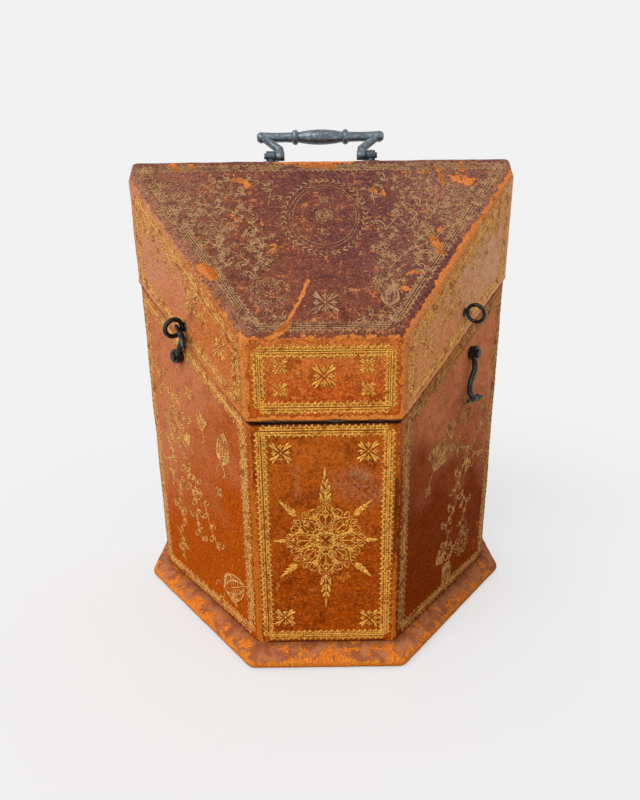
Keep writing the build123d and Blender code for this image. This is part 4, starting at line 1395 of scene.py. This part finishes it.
    @staticmethod
    def right_garland(side: Tooling) -> None:
        """The right side's round flowers, ribbed leaf and trailing stems.

        Args:
            side: The side's tooling.
        """
        side.stem([(54, 142), (70, 152), (88, 146), (108, 140), (124, 128), (137, 128)], 16.0, 0.36, 0.3)
        side.stem([(108, 140), (98, 124), (88, 108), (90, 94), (76, 80), (80, 66), (70, 52)], 15.0, 0.36, 0.4)
        side.stem([(100, 100), (110, 86), (102, 72), (106, 62)], 13.0, 0.34, 0.4)
        side.stem([(84, 66), (88, 50), (80, 38), (86, 26)], 13.0, 0.34, 0.3)
        side.stem([(136, 190), (128, 176), (134, 160), (124, 150)], 12.0, 0.32, 0.4)
        side.daisy(98, 175, 13.5)
        side.daisy(107, 51, 13.0)
        for x, y, degrees, reach, leaves in (
            (50, 138, 66, 27.0, 6), (76, 156, 98, 19.0, 4), (104, 118, 70, 15.0, 4), (72, 46, 115, 17.0, 5),
        ):
            side.spray(x, y, math.radians(degrees), reach, leaves)
        side.bloom(84, 22, math.radians(112), 24.0)
        side.star(42, 124, 5.0)
        side.star(58, 196, 5.0, 0.3)

    def gild(self, gilts: dict[str, Material]) -> None:
        """Tools the front, the two canted sides and the back.

        Args:
            gilts: The gold of each face.
        """
        form, far, foot, top = self.form, self.side_length, self.form.plinth_height, self.form.seam_front_z
        corner, high, band = form.body_front_width / 2, form.seam_z(form.cant_depth), 7.4
        front = Tooling(self.front, self)
        front.frame([(-corner, foot), (corner, foot), (corner, top), (-corner, top)], [6.2, band, 6.6, band])
        for x, y in ((-30.5, 170.5), (30.0, 171.0), (-31.0, 36.0), (32.5, 35.0)):
            front.star(x, y, 9.2)
        front.medallion(0.0, 102.0)
        edge = corner - band
        front.build("front_tooling", gilts["bright"], self.front.rubs(
            (-edge, 18, -edge, 130, 4.5, 0.46), (-edge, 130, -edge, 190, 4.5, 0.3),
            (edge, 18, edge, 150, 4.5, 0.36)))

        # The right side's darker gold is partly painted shade.
        for name, panel, garland, gilt in (
            ("left", self.left, self.left_garland, "warm"), ("right", self.right, self.right_garland, "dull"),
        ):
            side = Tooling(panel, self, fillet=0.55, roll=5.4)
            side.frame([(0, foot), (far, foot), (far, high), (0, top)], [6.2, 5.0, 8.0, 9.5])
            garland(side)
            side.build(f"{name}_side_tooling", gilts[gilt])

        wide, rear = form.back_width, form.seam_z(form.depth) - 26
        back = Tooling(Panel(self.plan[3], -EAST, UP), self)
        back.frame([(0, foot), (wide, foot), (wide, rear), (0, rear)], [9.0, 9.0, 4.0, 9.0], double=False)
        back.build("back_tooling", gilts["dull"])


@dataclass
class Foot:
    """The moulding round the foot, whose leather cover rounds its corners and is lumpy with age."""

    case: Body
    flare: float = 14.4
    nose: float = 5.2
    cell: float = 2.2
    lumps: float = 0.45              # height of its lumps
    lump_sizes: Point = (17.0, 6.0)  # length of the broad and of the small ones
    small_share: float = 0.6         # height of the small ones by that of the broad
    corner_round: float = 3.0        # rounding of its corners at the wall
    corner_growth: float = 0.45      # how much it grows with each millimetre outwards

    def section(self) -> list[Point]:
        """Works out the moulding's section.

        Returns:
            Outward distance and height, from the wall's foot all round and back.
        """
        centre_out, centre_z, top = self.flare - self.nose, self.nose, self.case.form.plinth_height
        rise = top - centre_z
        touch = math.atan2(rise, -centre_out) - math.acos(self.nose / math.hypot(centre_out, rise))
        points = [(0.0, 0.0), (centre_out / 2, 0.0)]
        for i in range(12):
            turn = -math.pi / 2 + (touch + math.pi / 2) * i / 11
            points.append(around(centre_out, centre_z, turn, self.nose))
        out, high = points[-1]
        points += [(out * (1 - share), high + (top - high) * share) for share in (0.2, 0.4, 0.6, 0.8, 1.0)]
        return points + [(0.0, top / 2), (0.0, 0.0)]

    def spread(self, index: int) -> np.ndarray:
        """Works out how a corner of the plan moves for each millimetre outwards.

        Args:
            index: The corner.

        Returns:
            The move.
        """
        plan, back = self.case.plan, self.case.form.depth
        normals = []
        for a, b in ((plan[index - 1], plan[index]), (plan[index], plan[(index + 1) % len(plan)])):
            if not (abs(a.y - back) < 1e-6 and abs(b.y - back) < 1e-6):
                normals.append((b - a).cross(UP).normalized())
        total = sum(normals, Vector())
        return np.array(total / (1 + normals[0].dot(normals[-1]) if len(normals) == 2 else 1.0))

    def run(self, node: str, first: int, second: int, material: Material) -> None:
        """Models one run of the moulding between two corners of the plan.

        Args:
            node: The CAD node that it stands for.
            first: Corner where it starts.
            second: Corner where it ends.
            material: The moulding's finish.
        """
        form, hull, plan = self.case.form, self.case.hull, self.case.plan
        section = np.array(self.section())
        start, end = np.array(plan[first]), np.array(plan[second])
        columns = max(3, round(float(np.linalg.norm(end - start)) / self.cell))
        piece, flat = flat_grid(columns, len(section) - 1)
        piece.name = node + "_leather"
        out, height = section[np.rint(flat[:, 1] * (len(section) - 1)).astype(int)].T
        base = start + (end - start) * flat[:, :1]
        lift = np.array(UP)
        places = base + lift * height[:, None]
        broad, small = self.lump_sizes
        rough = waves(places, broad) + self.small_share * waves(places, small)
        out = np.where(out > 0.5, out + rough * self.lumps, out)
        height = np.where(height > 1.0, height + rough * self.lumps * 0.5, height)
        height = np.minimum(height, form.plinth_height)
        ways = self.spread(first) + (self.spread(second) - self.spread(first)) * flat[:, :1]
        points = base + ways * out[:, None]
        upright = [i for i, normal in enumerate(hull.normals) if normal[1] < 0.99]
        for level in np.unique(np.round(out, 1)):
            at = np.abs(np.round(out, 1) - level) < 1e-6
            rounding = self.corner_round + self.corner_growth * max(level, 0)
            ring = Hull(hull.normals[upright], hull.reaches[upright] + level, rounding)
            points[at], _ = ring.wrapped(points[at])
        set_coordinates(piece, form.placed(points + lift * height[:, None]))
        mend(merge=0.00001, fill=True)
        coated(piece, material, smooth=40)
        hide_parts(node)
        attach(piece, "body")

    def build(self, material: Material) -> None:
        """Makes the five runs.

        Args:
            material: The moulding's finish.
        """
        for node, first, second in (
            ("plinth_front", 0, 1), ("plinth_right_canted", 1, 2), ("plinth_right_return", 2, 3),
            ("plinth_left_return", 4, 5), ("plinth_left_canted", 5, 0),
        ):
            self.run(node, first, second, material)


@dataclass
class Lid(Half):
    """The overhead lid's leather and tooling."""

    body: str = "lid"
    wall_rows: int = 46
    deck_columns: int = 150

    def __post_init__(self) -> None:
        """Works out the corners, faces, panels and worn places."""
        form = self.form
        out = form.lid_overhang
        front, back = form.body_front_width / 2 + form.lid_front_spread, form.back_width / 2 + out
        self.plan = [Vector((x, y, 0)) for x, y in (
            (-front, -out), (front, -out), (back, form.cant_depth), (back, form.ridge_y), (back, form.depth),
            (-back, form.depth), (-back, form.ridge_y), (-back, form.cant_depth))]
        walls = [(self.plan[i], (self.plan[j] - self.plan[i]).cross(UP)) for i, j in
                 ((0, 1), (1, 2), (2, 3), (4, 5), (5, 6), (7, 0))]
        rise = Vector((0, form.ridge_y + out, form.lid_top_z - form.lid_front_z)).normalized()
        self.slope = Panel(Vector((0, -out, form.lid_front_z)), EAST, rise)
        self.top = Panel(Vector((0, form.ridge_y, form.lid_top_z)), EAST, Vector((0, 1, 0)))
        above = [(self.slope.origin, EAST.cross(rise)), (Vector((0, 0, form.lid_top_z)), UP)]
        self.hull = hull_of(walls + above, form.lid_round)
        self.set_panels()
        self.rubs, self.stains = self.worn_places(), self.stained_places()

    def low(self, index: int) -> Vector:
        """Corner of the plan on the seam."""
        corner = self.plan[index]
        return Vector((corner.x, corner.y, self.form.seam_z(corner.y) + self.form.seam_gap))

    def high(self, index: int) -> Vector:
        """Corner of the plan on the lid's slope or top."""
        corner = self.plan[index]
        return Vector((corner.x, corner.y, self.form.slope_z(corner.y)))

    def wall(self, first: int, second: int) -> Facet:
        """The upright facet between two corners of the plan, from the seam to the slope or top.

        Args:
            first: Corner where it starts.
            second: Corner where it ends.

        Returns:
            The facet.
        """
        columns = max(2, round((self.plan[second] - self.plan[first]).length / self.cell))
        corners = (self.low(first), self.low(second), self.high(second), self.high(first))
        return Facet(corners, columns, self.wall_rows, Edge.BOTTOM)

    def deck(self, near: int, far: int, deep: float) -> Facet:
        """The facet of the slope or top between two of its right corners, from side to side.

        Args:
            near: The corner at its front.
            far: The corner at its back.
            deep: Its length from front to back.

        Returns:
            The facet.
        """
        mirror = {1: 0, 2: 7, 3: 6, 4: 5}
        corners = (self.high(mirror[near]), self.high(near), self.high(far), self.high(mirror[far]))
        return Facet(corners, self.deck_columns, max(2, round(deep / self.cell)))

    def worn_places(self) -> list[Rub]:
        """Places the worn hips and lip, the tears and long cracks, where the hide shows.

        Returns:
            The rubs.
        """
        corner, length = self.plan[1].x, self.form.slope_length
        lip, top = self.form.seam_front_z + 1.5, self.form.lid_front_z
        return [
            *self.front.rubs(
                (-corner, lip, corner, lip, 4.6, 0.9), (-corner, lip, -corner, top, 5.2, 0.8),
                (corner, lip, corner, top, 4.6, 0.72), (-22, 211, -4, 210, 1.2, 0.7)),
            *between(self.high(0), self.high(1), (0, 1, 3.4, 0.5)),
            *between(self.high(1), self.high(2), (0, 0.3, 4.0, 0.84), (0.28, 0.62, 5.4, 0.9),
                     (0.6, 1, 5.0, 0.74)),
            *between(self.high(0), self.high(7), (0, 0.34, 5.4, 0.5), (0.3, 1, 4.0, 0.34)),
            *between(self.low(0), self.low(7), (0, 1, 2.6, 0.55)),
            *between(self.low(1), self.low(2), (0, 1, 3.2, 0.6)),
            *self.top.rubs((-30, 3, 14, 4, 4.4, 0.95)),
            *self.slope.rubs(
                (-36, length, 24, length, 3.6, 0.95), (-17, length - 5, 10, length - 6, 6.0, 0.66),
                (-118, length - 3, -114, length - 9, 4.0, 0.8),
                (-104, length - 2, -100, length - 8, 2.6, 0.8), (-66, 153, -57, 147, 7.0, 0.62),
                (-60, 148, -54, 136, 3.2, 0.52), (-62, 130, -66, 112, 4.6, 0.5),
                (-66, 112, -52, 100, 4.0, 0.48), (-46, 112, -43, 98, 2.6, 0.5), (-40, 84, -24, 78, 2.0, 0.5),
                (40, 138, 50, 134, 5.5, 0.6), (103, 151, 116, 147, 7.5, 0.66), (92, 164, 94, 144, 4.2, 0.56),
                (112, 168, 107, 154, 4.6, 0.6), (60, 160, 84, 158, 3.4, 0.5), (-85, 62, -76, 54, 6.0, 0.9),
                (-10, 49, -15, 34, 2.0, 0.72), (-13, 38, -25, 10, 1.7, 0.8), (-15, 34, -21, 22, 4.0, 0.4),
                (-25, 10, -32, 1, 4.6, 0.7), (-9, 49, -2, 58, 1.0, 0.62), (-2, 58, 14, 66, 0.9, 0.55),
                (60, 54, 66, 55, 4.6, 0.58), (54, 41, 58, 40, 4.2, 0.56), (80, 86, 84, 72, 7.0, 0.56),
                (88, 98, 82, 92, 3.0, 0.56), (30, 24, 36, 40, 1.0, 0.6), (-20, 143, 50, 144, 1.0, 0.58),
                (50, 144, 66, 156, 1.0, 0.58)),
        ]

    def stained_places(self) -> list[Rub]:
        """Places the painted shade along the lid's lip, and the darker patches round the ring and over the
        roundel.

        Returns:
            The stains.
        """
        return [
            # The rows along the low edges are painted shade at the seam.
            *between(self.low(0), self.low(1), (0, 1, 1.6, 0.75)),
            *between(self.low(0), self.low(7), (0, 1, 1.4, 0.7), (0, 0.12, 2.4, 0.9)),
            *between(self.low(7), self.low(0), (0.28, 0, 2.2, 0.95)),
            *between(self.low(1), self.low(2), (0, 1, 2.0, 1.0), (0, 0.3, 3.0, 1.0)),
            *self.left.rubs((67, 257, 60, 262, 7.0, 0.45)),
            *self.slope.rubs((24, 130, 24, 90, 9.0, 0.22), (-26, 130, -26, 90, 9.0, 0.22),
                             (-72, 30, -52, 62, 9.0, 0.3), (-40, 154, 40, 154, 5.0, 0.25)),
        ]

    def skins(self, leathers: dict[str, Material]) -> None:
        """Makes the five leathers of the lid.

        Args:
            leathers: The leather of each face.
        """
        form, left, right, slope = self.form, self.left, self.right, self.slope
        for name, walls, blush_from, blush_to, lip, fat, fray in (
            ("front", ((0, 1),), self.front.point(0, 200), self.front.point(0, 251), 2.2, 1.3, 1.5),
            ("right", ((1, 2), (2, 3), (3, 4)), right.point(20, 210), right.point(140, 330), 2.0, 0.8, 1.1),
            ("back", ((4, 5),), Vector((0, form.depth, 300)), Vector((0, form.depth, 369)), 1.0, 0.0, 0.7),
            ("left", ((5, 6), (6, 7), (7, 0)), left.point(20, 210), left.point(120, 330), 2.0, 0.7, 0.7),
        ):
            facets = [self.wall(*corners) for corners in walls]
            Skin(self, f"lid_{name}_leather", f"lid_leather_{name}", facets, blush_from, blush_to, lip, fat,
                 fray).build(leathers["back" if name == "back" else f"lid_{name}"])
        decks = [self.deck(1, 2, form.cant_depth / math.cos(math.atan(form.lid_slope))),
                 self.deck(2, 3, form.ridge_y - form.cant_depth), self.deck(3, 4, form.top_strip)]
        dusty = [
            Rub(self.high(0), self.high(7), 9.0, 0.9), Rub(self.high(7), self.high(6), 7.0, 0.5),
            Rub(self.high(1).lerp(self.high(2), 0.5), self.high(3), 6.0, 0.6),
            *slope.rubs((92, 150, 110, 120, 42.0, 0.5), (70, 100, 50, 60, 24.0, 0.25),
                        (-118, 160, -100, 130, 26.0, 0.3)),
            *self.top.rubs((-60, 20, 60, 20, 14.0, 0.2)),
        ]
        Skin(self, "lid_slope_leather", "lid_leather_slope", decks, slope.point(70, 130),
             slope.point(-60, 60), hazes=dusty).build(leathers["slope"])

    def gild(self, gilts: dict[str, Material]) -> None:
        """Tools the lid's front, its sides and its slope.

        Args:
            gilts: The gold of each face.
        """
        corner, low, top = self.plan[1].x, self.form.seam_front_z + 3.0, self.form.lid_front_z
        front = Tooling(self.front, self)
        front.frame([(-corner, low), (corner, low), (corner, top), (-corner, top)], [7.5, 9.5, 9.2, 10.0])
        for x, y, reach in (
            (0, 225, 9.5), (-29, 232, 6.0), (-29.5, 216, 6.0), (28.5, 232, 6.0), (29, 216, 6.0),
        ):
            front.star(x, y, reach)
        front.build("lid_front_tooling", gilts["bright"])

        far = self.side_length
        outline = [(0, self.low(1).z), (far, self.low(2).z), (far, self.high(2).z), (0, self.high(1).z)]
        for name, panel in (("left", self.left), ("right", self.right)):
            side = Tooling(panel, self, fillet=0.55, roll=5.4)
            met = side.frame(outline, [7.5, 9.0, 9.0, 9.0])
            side.star(28.5, 240.5, 9.5, 0.2)
            side.star(64, 270, 10.5, 0.2)
            side.stem([(84, 284), (98, 302), (116, 308), (130, 326)], 12.0, 0.28, 0.6)
            side.stem([(44, 252), (50, 262), (56, 258)], 8.0, 0.26, 0.3)
            side.daisy(met[2][0] - 18, met[2][1] - 22, 7.0)
            side.build(f"lid_{name}_tooling", gilts["warm"])
        self.gild_slope(gilts["faded"])

    def gild_slope(self, gilt: Material) -> None:
        """Tools the slope: a frame, a wreath roundel, foliage and flowers, all rubbed dull.

        Args:
            gilt: The slope's gold.
        """
        slope = Tooling(self.slope, self)
        near, wide, length = self.plan[1].x, self.high(2).x, self.form.slope_length
        hip = (self.high(2) - self.slope.origin).dot(self.slope.up)
        slope.frame([(-near, 0), (near, 0), (wide, hip), (wide, length), (-wide, length), (-wide, hip)],
                    [9.0, 12.0, 9.0, 8.0, 9.0, 12.0])
        centre_x, centre_y, leaves, runs = 2.0, 112.0, 44, 48

        def oval(turn: float, reach_x: float, reach_y: float) -> Point:
            """Point of an oval round the roundel's middle."""
            return centre_x + math.cos(turn) * reach_x, centre_y + math.sin(turn) * reach_y

        for k in range(leaves):
            turn = math.tau * k / leaves
            for side in SIDES:
                slope.leaf(*oval(turn, 30.5, 38.5), turn + math.pi / 2 + side * 0.6, 4.4, 0.55)
        for reach_x, reach_y in ((23.5, 30.0), (26.0, 33.0)):
            slope.stroke([oval(math.tau * i / runs, reach_x, reach_y) for i in range(runs + 1)],
                         [0.24] * (runs + 1))
        slope.daisy(centre_x, centre_y, 6.5, 6)
        slope.star(centre_x, centre_y + 17, 4.2)
        slope.star(centre_x, centre_y - 17, 4.2)
        slope.star(1.5, 29, 11.0)
        slope.daisy(-36, 37, 14.0, 10)
        slope.bloom(44, 26, math.radians(80), 18.0)
        slope.daisy(44, 44, 9.0)
        for side in SIDES:
            for curl, half, lush, *places in (
                (14.0, 0.36, 1.0, (54, 36), (46, 54), (58, 72), (78, 84), (92, 98), (112, 108), (122, 128),
                 (124, 148)),
                (13.0, 0.36, 1.0, (46, 62), (42, 84), (52, 104), (68, 118), (92, 126)),
                (10.0, 0.34, 0.6, (66, 78), (76, 70), (70, 56)),
                (12.0, 0.34, 0.7, (40, 124), (40, 142), (56, 152), (82, 150), (100, 144)),
                (10.0, 0.32, 0.5, (60, 96), (76, 104), (88, 118), (108, 122)),
                (9.0, 0.32, 0.5, (54, 138), (72, 136), (84, 140)),
                (9.0, 0.32, 0.5, (22, 14), (34, 18), (48, 14)),
                (9.0, 0.32, 0.5, (62, 60), (71, 70), (67, 83), (77, 92)),
                (9.0, 0.32, 0.5, (34, 60), (46, 70), (44, 84), (54, 94)),
                (9.0, 0.32, 0.5, (88, 96), (96, 110), (91, 124), (101, 133)),
                (9.0, 0.32, 0.5, (50, 112), (62, 126), (59, 141)),
            ):
                slope.stem([(side * u, v) for u, v in places], curl, half, lush)
            slope.daisy(side * 108, 134, 9.0, 7)
            slope.daisy(side * 74, 94, 8.0, 6)
        slope.build("slope_tooling", gilt)


# ---- Ironwork --------------------------------------------------------------------------------
@dataclass(frozen=True)
class Ironwork:
    """Forged pieces, fattened and softened over the frame's own shapes by years of blacking."""

    hook_swell: float = 0.25         # how far the hooks stand outside their CAD shapes
    ring_swell: float = 0.35         # the left ring, thickened where the hook has worn a collar of blacking
    arm_swell: float = 0.75          # the handle's arms
    grip_reach: float = 6.5          # radius over the grip's beads
    grip_core: float = 3.6           # grip radius past which the swelling and beads are worn down
    bead_kept: float = 0.8           # share of them that is left
    pivot_height: float = 7.4        # height over the handle's pivots, which keep their size
    fade: float = 3.0                # how far the arms' swelling takes to come in
    hammered: float = 0.14           # depth of the hammer marks
    handle_marks: float = 0.35       # share of that depth on the handle
    mark_size: float = 3.5

    def handled(self, points: np.ndarray) -> tuple[np.ndarray, np.ndarray]:
        """Wears the handle's grip down and fattens its arms.

        Args:
            points: The handle's vertices in millimetres.

        Returns:
            The vertices with the grip worn, and how far each is fattened.
        """
        centre = points[:, 1:].max(axis=0) - self.grip_reach
        from_grip = points[:, 1:] - centre
        radius = np.hypot(from_grip[:, 0], from_grip[:, 1])
        below = radius - self.grip_reach
        over_pivot = np.clip((points[:, 2] - (points[:, 2].min() + self.pivot_height)) / self.fade, 0.0, 1.0)
        swell = self.arm_swell * np.clip(below / self.fade, 0.0, 1.0) * over_pivot
        beads = self.grip_core + (radius - self.grip_core) * self.bead_kept
        worn = np.where(radius > self.grip_core, beads, radius) / np.maximum(radius, 1e-6) - 1
        points[:, 1:] += from_grip * ((below <= 0.05) * worn)[:, None]
        return points, swell

    def forged(
        self, name: str, node: str, body: str, material: Material, swell: float = 0.0
    ) -> None:
        """Copies a CAD node, fattens it along its normals and hammers it.

        Args:
            name: Name of the new piece.
            node: The node that it stands for.
            body: The body that it rides on.
            material: The iron's finish.
            swell: How far it is fattened, in millimetres.
        """
        piece = linked(name, bpy.data.objects[node].data.copy())
        mend(merge=0.00001)
        points = coordinates(piece) / METRES
        normals = np.array([tuple(v.normal) for v in piece.data.vertices])
        marks, amount = waves(points, self.mark_size) * self.hammered, np.full(len(points), swell)
        if node == "bail":
            points, amount = self.handled(points)
            marks *= self.handle_marks
        set_coordinates(piece, (points + normals * (amount + marks)[:, None]) * METRES)
        coated(piece, material, smooth=45)
        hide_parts(node)
        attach(piece, body)

    def build(self) -> None:
        """Makes the hooks, the rings and the handle."""
        # The latch iron's bright flecks are raised to stand in part for the highlights on the rings and
        # hooks: painted highlights.
        latch = IronFinish("forged_latch_iron", "#10110E", "#4A4E48", "#24170E", 0.3, 0.3).build()
        handle = IronFinish("forged_handle_iron", "#5E6870", "#86929A", "#5C5048", 0.36, 0.35, 3.2).build()
        for side, ring_swell in (("left", self.ring_swell), ("right", 0.0)):
            hook = f"{side}_hook"
            self.forged(f"{side}_forged_hook", hook, hook, latch, self.hook_swell)
            self.forged(f"{side}_forged_ring", f"{side}_eye", "lid", latch, ring_swell)
        self.forged("forged_handle", "bail", "bail", handle)


# ---- Ready-made nodes and stage ----------------------------------------------------------------
def dress_nodes(nodes: dict[str, Piece], form: CaseForm) -> None:
    """Gives every CAD node that stays its finish, by the slot that it has in the record.

    Args:
        nodes: The frame's nodes by name.
        form: The chest's shape, which places the seam.
    """
    rise = math.tan(math.radians(form.seam_angle))
    seam = (form.seam_front_z + form.origin_y * rise, rise)
    finishes = {
        "case_pine": PineFinish("case_boards", seam=seam).build(),
        "rack_pine": PineFinish("rack_boards", "#A87844", "#7C4E26").build(),
        "rack_velvet": VelvetFinish("rack_green_velvet", "#2F4A32", "#4A6A4A").build(),
        "lining_velvet": VelvetFinish("lining_green_velvet", "#35503A", "#4F6F50").build(),
        "handle_iron": IronFinish("handle_blued_iron", "#3A4247", "#7A848A", "#3A3632", 0.4, 0.1).build(),
        "hinge_iron": IronFinish("hinge_black_iron", "#1B1A18", "#34322E", "#3E2417", 0.45, 0.5).build(),
        "latch_iron": IronFinish("latch_black_iron", "#12130F", "#2B2E26", "#2B1B10", 0.34, 0.4).build(),
    }
    for node in nodes.values():
        for slot in node.material_slots:
            slot.material = finishes.get(slot.material.name.split(".")[0], slot.material)


@dataclass(frozen=True)
class Stage:
    """Camera, pale floor and soft studio light."""

    camera_place: tuple[float, float, float] = (-3.1, -441.95, 321.0)
    yaw: float = 0.02
    pitch: float = 17.1
    roll: float = -0.69
    focal_pixels: float = 572.0      # focal length in pixels of a picture 800 high
    picture_height: float = 800.0
    sensor: float = 36.0
    paper: str = "#F2F2F2"
    bounce: str = "#7E7E7E"          # what the floor throws back on the chest
    held: float = 0.6                # share of the paper's own white near the chest
    held_from: float = 0.3           # metres from the middle where it starts to rise
    held_to: float = 0.75            # and where the floor is all white
    sky_light: float = 0.71
    key_light: float = 1.65
    key_angle: float = 55.0          # degrees across, which sets how soft its shadow is
    key_from: tuple[float, float, float] = (-0.55, -0.62, 0.56)
    floor_reach: float = 9000.0

    def camera(self) -> None:
        """Sets the camera where the row frame says."""
        yaw, pitch, roll = (math.radians(a) for a in (self.yaw, self.pitch, self.roll))
        ahead = Vector((math.sin(yaw) * math.cos(pitch), math.cos(yaw) * math.cos(pitch), -math.sin(pitch)))
        level = Vector((math.cos(yaw), -math.sin(yaw), 0.0))
        over = level.cross(ahead)
        right = level * math.cos(roll) + over * math.sin(roll)
        up = over * math.cos(roll) - level * math.sin(roll)
        lens = bpy.data.cameras.new("camera")
        lens.sensor_width = self.sensor
        lens.lens = self.focal_pixels / self.picture_height * self.sensor
        lens.clip_start, lens.clip_end = 0.01, 50.0
        camera = bpy.data.objects.new("camera", lens)
        bpy.context.scene.collection.objects.link(camera)
        turn = Matrix((right, up, -ahead)).transposed().to_4x4()
        camera.matrix_world = Matrix.Translation(Vector(self.camera_place) * METRES) @ turn
        bpy.context.scene.camera = camera

    def light(self) -> None:
        """Even light from all round and a broad soft key from the upper left."""
        world = bpy.data.worlds.new("studio")
        bpy.context.scene.world = world
        world.use_nodes = True
        world.node_tree.nodes.clear()
        add = partial(add_node, world.node_tree)
        seen = add("LightPath", out="Is Camera Ray")
        for ray in ("Is Glossy Ray", "Is Transmission Ray"):
            seen = add("Math", {0: seen, 1: add("LightPath", out=ray)}, operation="MAXIMUM")
        lit = add("Background", {"Color": (1.0, 1.0, 1.0, 1.0), "Strength": self.sky_light})
        shown = add("Background", {"Color": self.paper, "Strength": 1.0})
        add("OutputWorld", {"Surface": add("MixShader", {0: seen, 1: lit, 2: shown})})
        sun = bpy.data.lights.new("key", "SUN")
        sun.energy = self.key_light
        sun.angle = math.radians(self.key_angle)
        key = bpy.data.objects.new("key", sun)
        key.rotation_mode = "QUATERNION"
        key.rotation_quaternion = Vector(self.key_from).to_track_quat("Z", "Y")
        bpy.context.scene.collection.objects.link(key)

    def floor(self) -> None:
        """A pale floor that takes the chest's shadow and melts into the background further out."""
        deselect()
        bpy.ops.mesh.primitive_plane_add(size=2 * self.floor_reach * METRES)
        floor = bpy.context.object
        floor.name = "studio_floor"
        material, add = blank_material("pale_paper")
        away = add("VectorMath", {0: add("TexCoord", out="Object")}, "Value", operation="LENGTH")
        held = add("MapRange", {"Value": away, "From Min": self.held_from, "From Max": self.held_to,
                                "To Min": self.held}, **SMOOTH)
        seen = add("Math", {0: held, 1: add("LightPath", out="Is Camera Ray")}, operation="MULTIPLY")
        paper = add("Mix", {0: add("LightPath", out="Is Diffuse Ray"), MIX_A: self.paper, MIX_B: self.bounce},
                    MIX_OUT, **COLOURS)
        matt = add("BsdfDiffuse", {"Color": paper})
        glow = add("Emission", {"Color": self.paper, "Strength": 1.0})
        add("OutputMaterial", {"Surface": add("MixShader", {0: seen, 1: matt, 2: glow})})
        floor.data.materials.append(material)

    def build(self) -> None:
        """Makes the whole stage."""
        self.camera()
        self.light()
        self.floor()
        bpy.context.scene.view_settings.view_transform = "Standard"


def make_leathers() -> dict[str, Material]:
    """Makes the covering leather of each face, whose dye has aged differently; the body's right side is
    darkened with painted shade and the lid's right side lightened with painted light.

    Returns:
        The materials by face.
    """
    side = {"crackle": 0.15, "gloss": 0.01, "chipped": 0.0, "mottle": 0.45}
    lid_side = {"crackle": 0.25, "gloss": 0.03, "mottle": 0.5, "blotted": 0.3, "flesh": "#C87434",
                "flesh_light": "#E29A5C"}
    finishes = {
        "front": LeatherFinish("front_goatskin", "#A84604", "#C05E1A", "#702A04", "#CC7020", crackle=0.05),
        "left": LeatherFinish("left_goatskin", "#B44800", "#CE7E56", "#8C3A08", "#DE862C", blotted=0.3,
                              **side),
        # The right side is darker than the left partly as painted shade, for the side turned from the key
        # light.
        "right": LeatherFinish("right_goatskin", "#842E00", "#E88C60", "#541E02", "#A85C1C", blotted=0.25,
                               **side),
        "back": LeatherFinish("back_goatskin", "#7E3A10", "#8C4A22", "#5C2A0C", "#9A5A2A", crackle=0.15),
        "lid_front": LeatherFinish("lid_front_goatskin", "#CC5A1A", "#DC7836", "#8C3A0A", "#E8924E",
                                   crackle=0.15, flesh="#D07028", flesh_light="#EA9648"),
        "lid_left": LeatherFinish("lid_left_goatskin", "#D07030", "#D48A66", "#A05430", "#F0AE78",
                                  **lid_side),
        # The lid's right side is lighter than its real dye: painted light that makes up for its shade.
        "lid_right": LeatherFinish("lid_right_goatskin", "#F09A5C", "#F0B48A", "#A86038", "#F4BA88",
                                   **lid_side),
        "slope": LeatherFinish("slope_goatskin", "#663330", "#80422E", "#42201E", "#9A6450", dust="#B67E62",
                               crackle=1.0, scraped=0.45, chipped=0.7, gloss=0.14, flesh="#CC6C2C",
                               flesh_light="#DE8C4C"),
    }
    return {name: finish.build() for name, finish in finishes.items()}


def make_gilts() -> dict[str, Material]:
    """Makes the gold of each face, kept brightest on the front.

    Returns:
        The materials by how bright they are.
    """
    finishes = {
        "bright": GiltFinish("bright_gold_leaf", "#FFC45C", "#D68E34", "#AE5814", "#642A0A", kept=0.7,
                             metal=0.34),
        "warm": GiltFinish("warm_gold_leaf", "#FFC66E", "#D08638", "#AE5C22", "#6E3210", kept=0.62),
        # Darker gold for the right side and the back, partly painted shade on the faces turned from the key
        # light.
        "dull": GiltFinish("dull_gold_leaf", "#DEA454", "#A66C2E", "#844818", "#401A04", kept=0.58),
        "faded": GiltFinish("faded_gold_leaf", "#C69A6C", "#A07450", "#7E4C3C", "#3C1C18", metal=0.25),
    }
    return {name: finish.build() for name, finish in finishes.items()}


def main() -> None:
    """Builds the looks of the chest round the frame."""
    logging.basicConfig(level=logging.INFO, format="%(message)s")
    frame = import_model()
    form = CaseForm(origin_y=-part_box("body_leather_front")[0].y / METRES)
    Stage().build()
    leathers, gilts = make_leathers(), make_gilts()
    dress_nodes(frame["nodes"], form)
    body, lid = Body(form, random.Random(11)), Lid(form, random.Random(23))
    body.skins(leathers)
    body.gild(gilts)
    Foot(body).build(MouldingFinish().build())
    lid.skins(leathers)
    lid.gild(gilts)
    Ironwork().build()


if __name__ == "__main__":
    main()
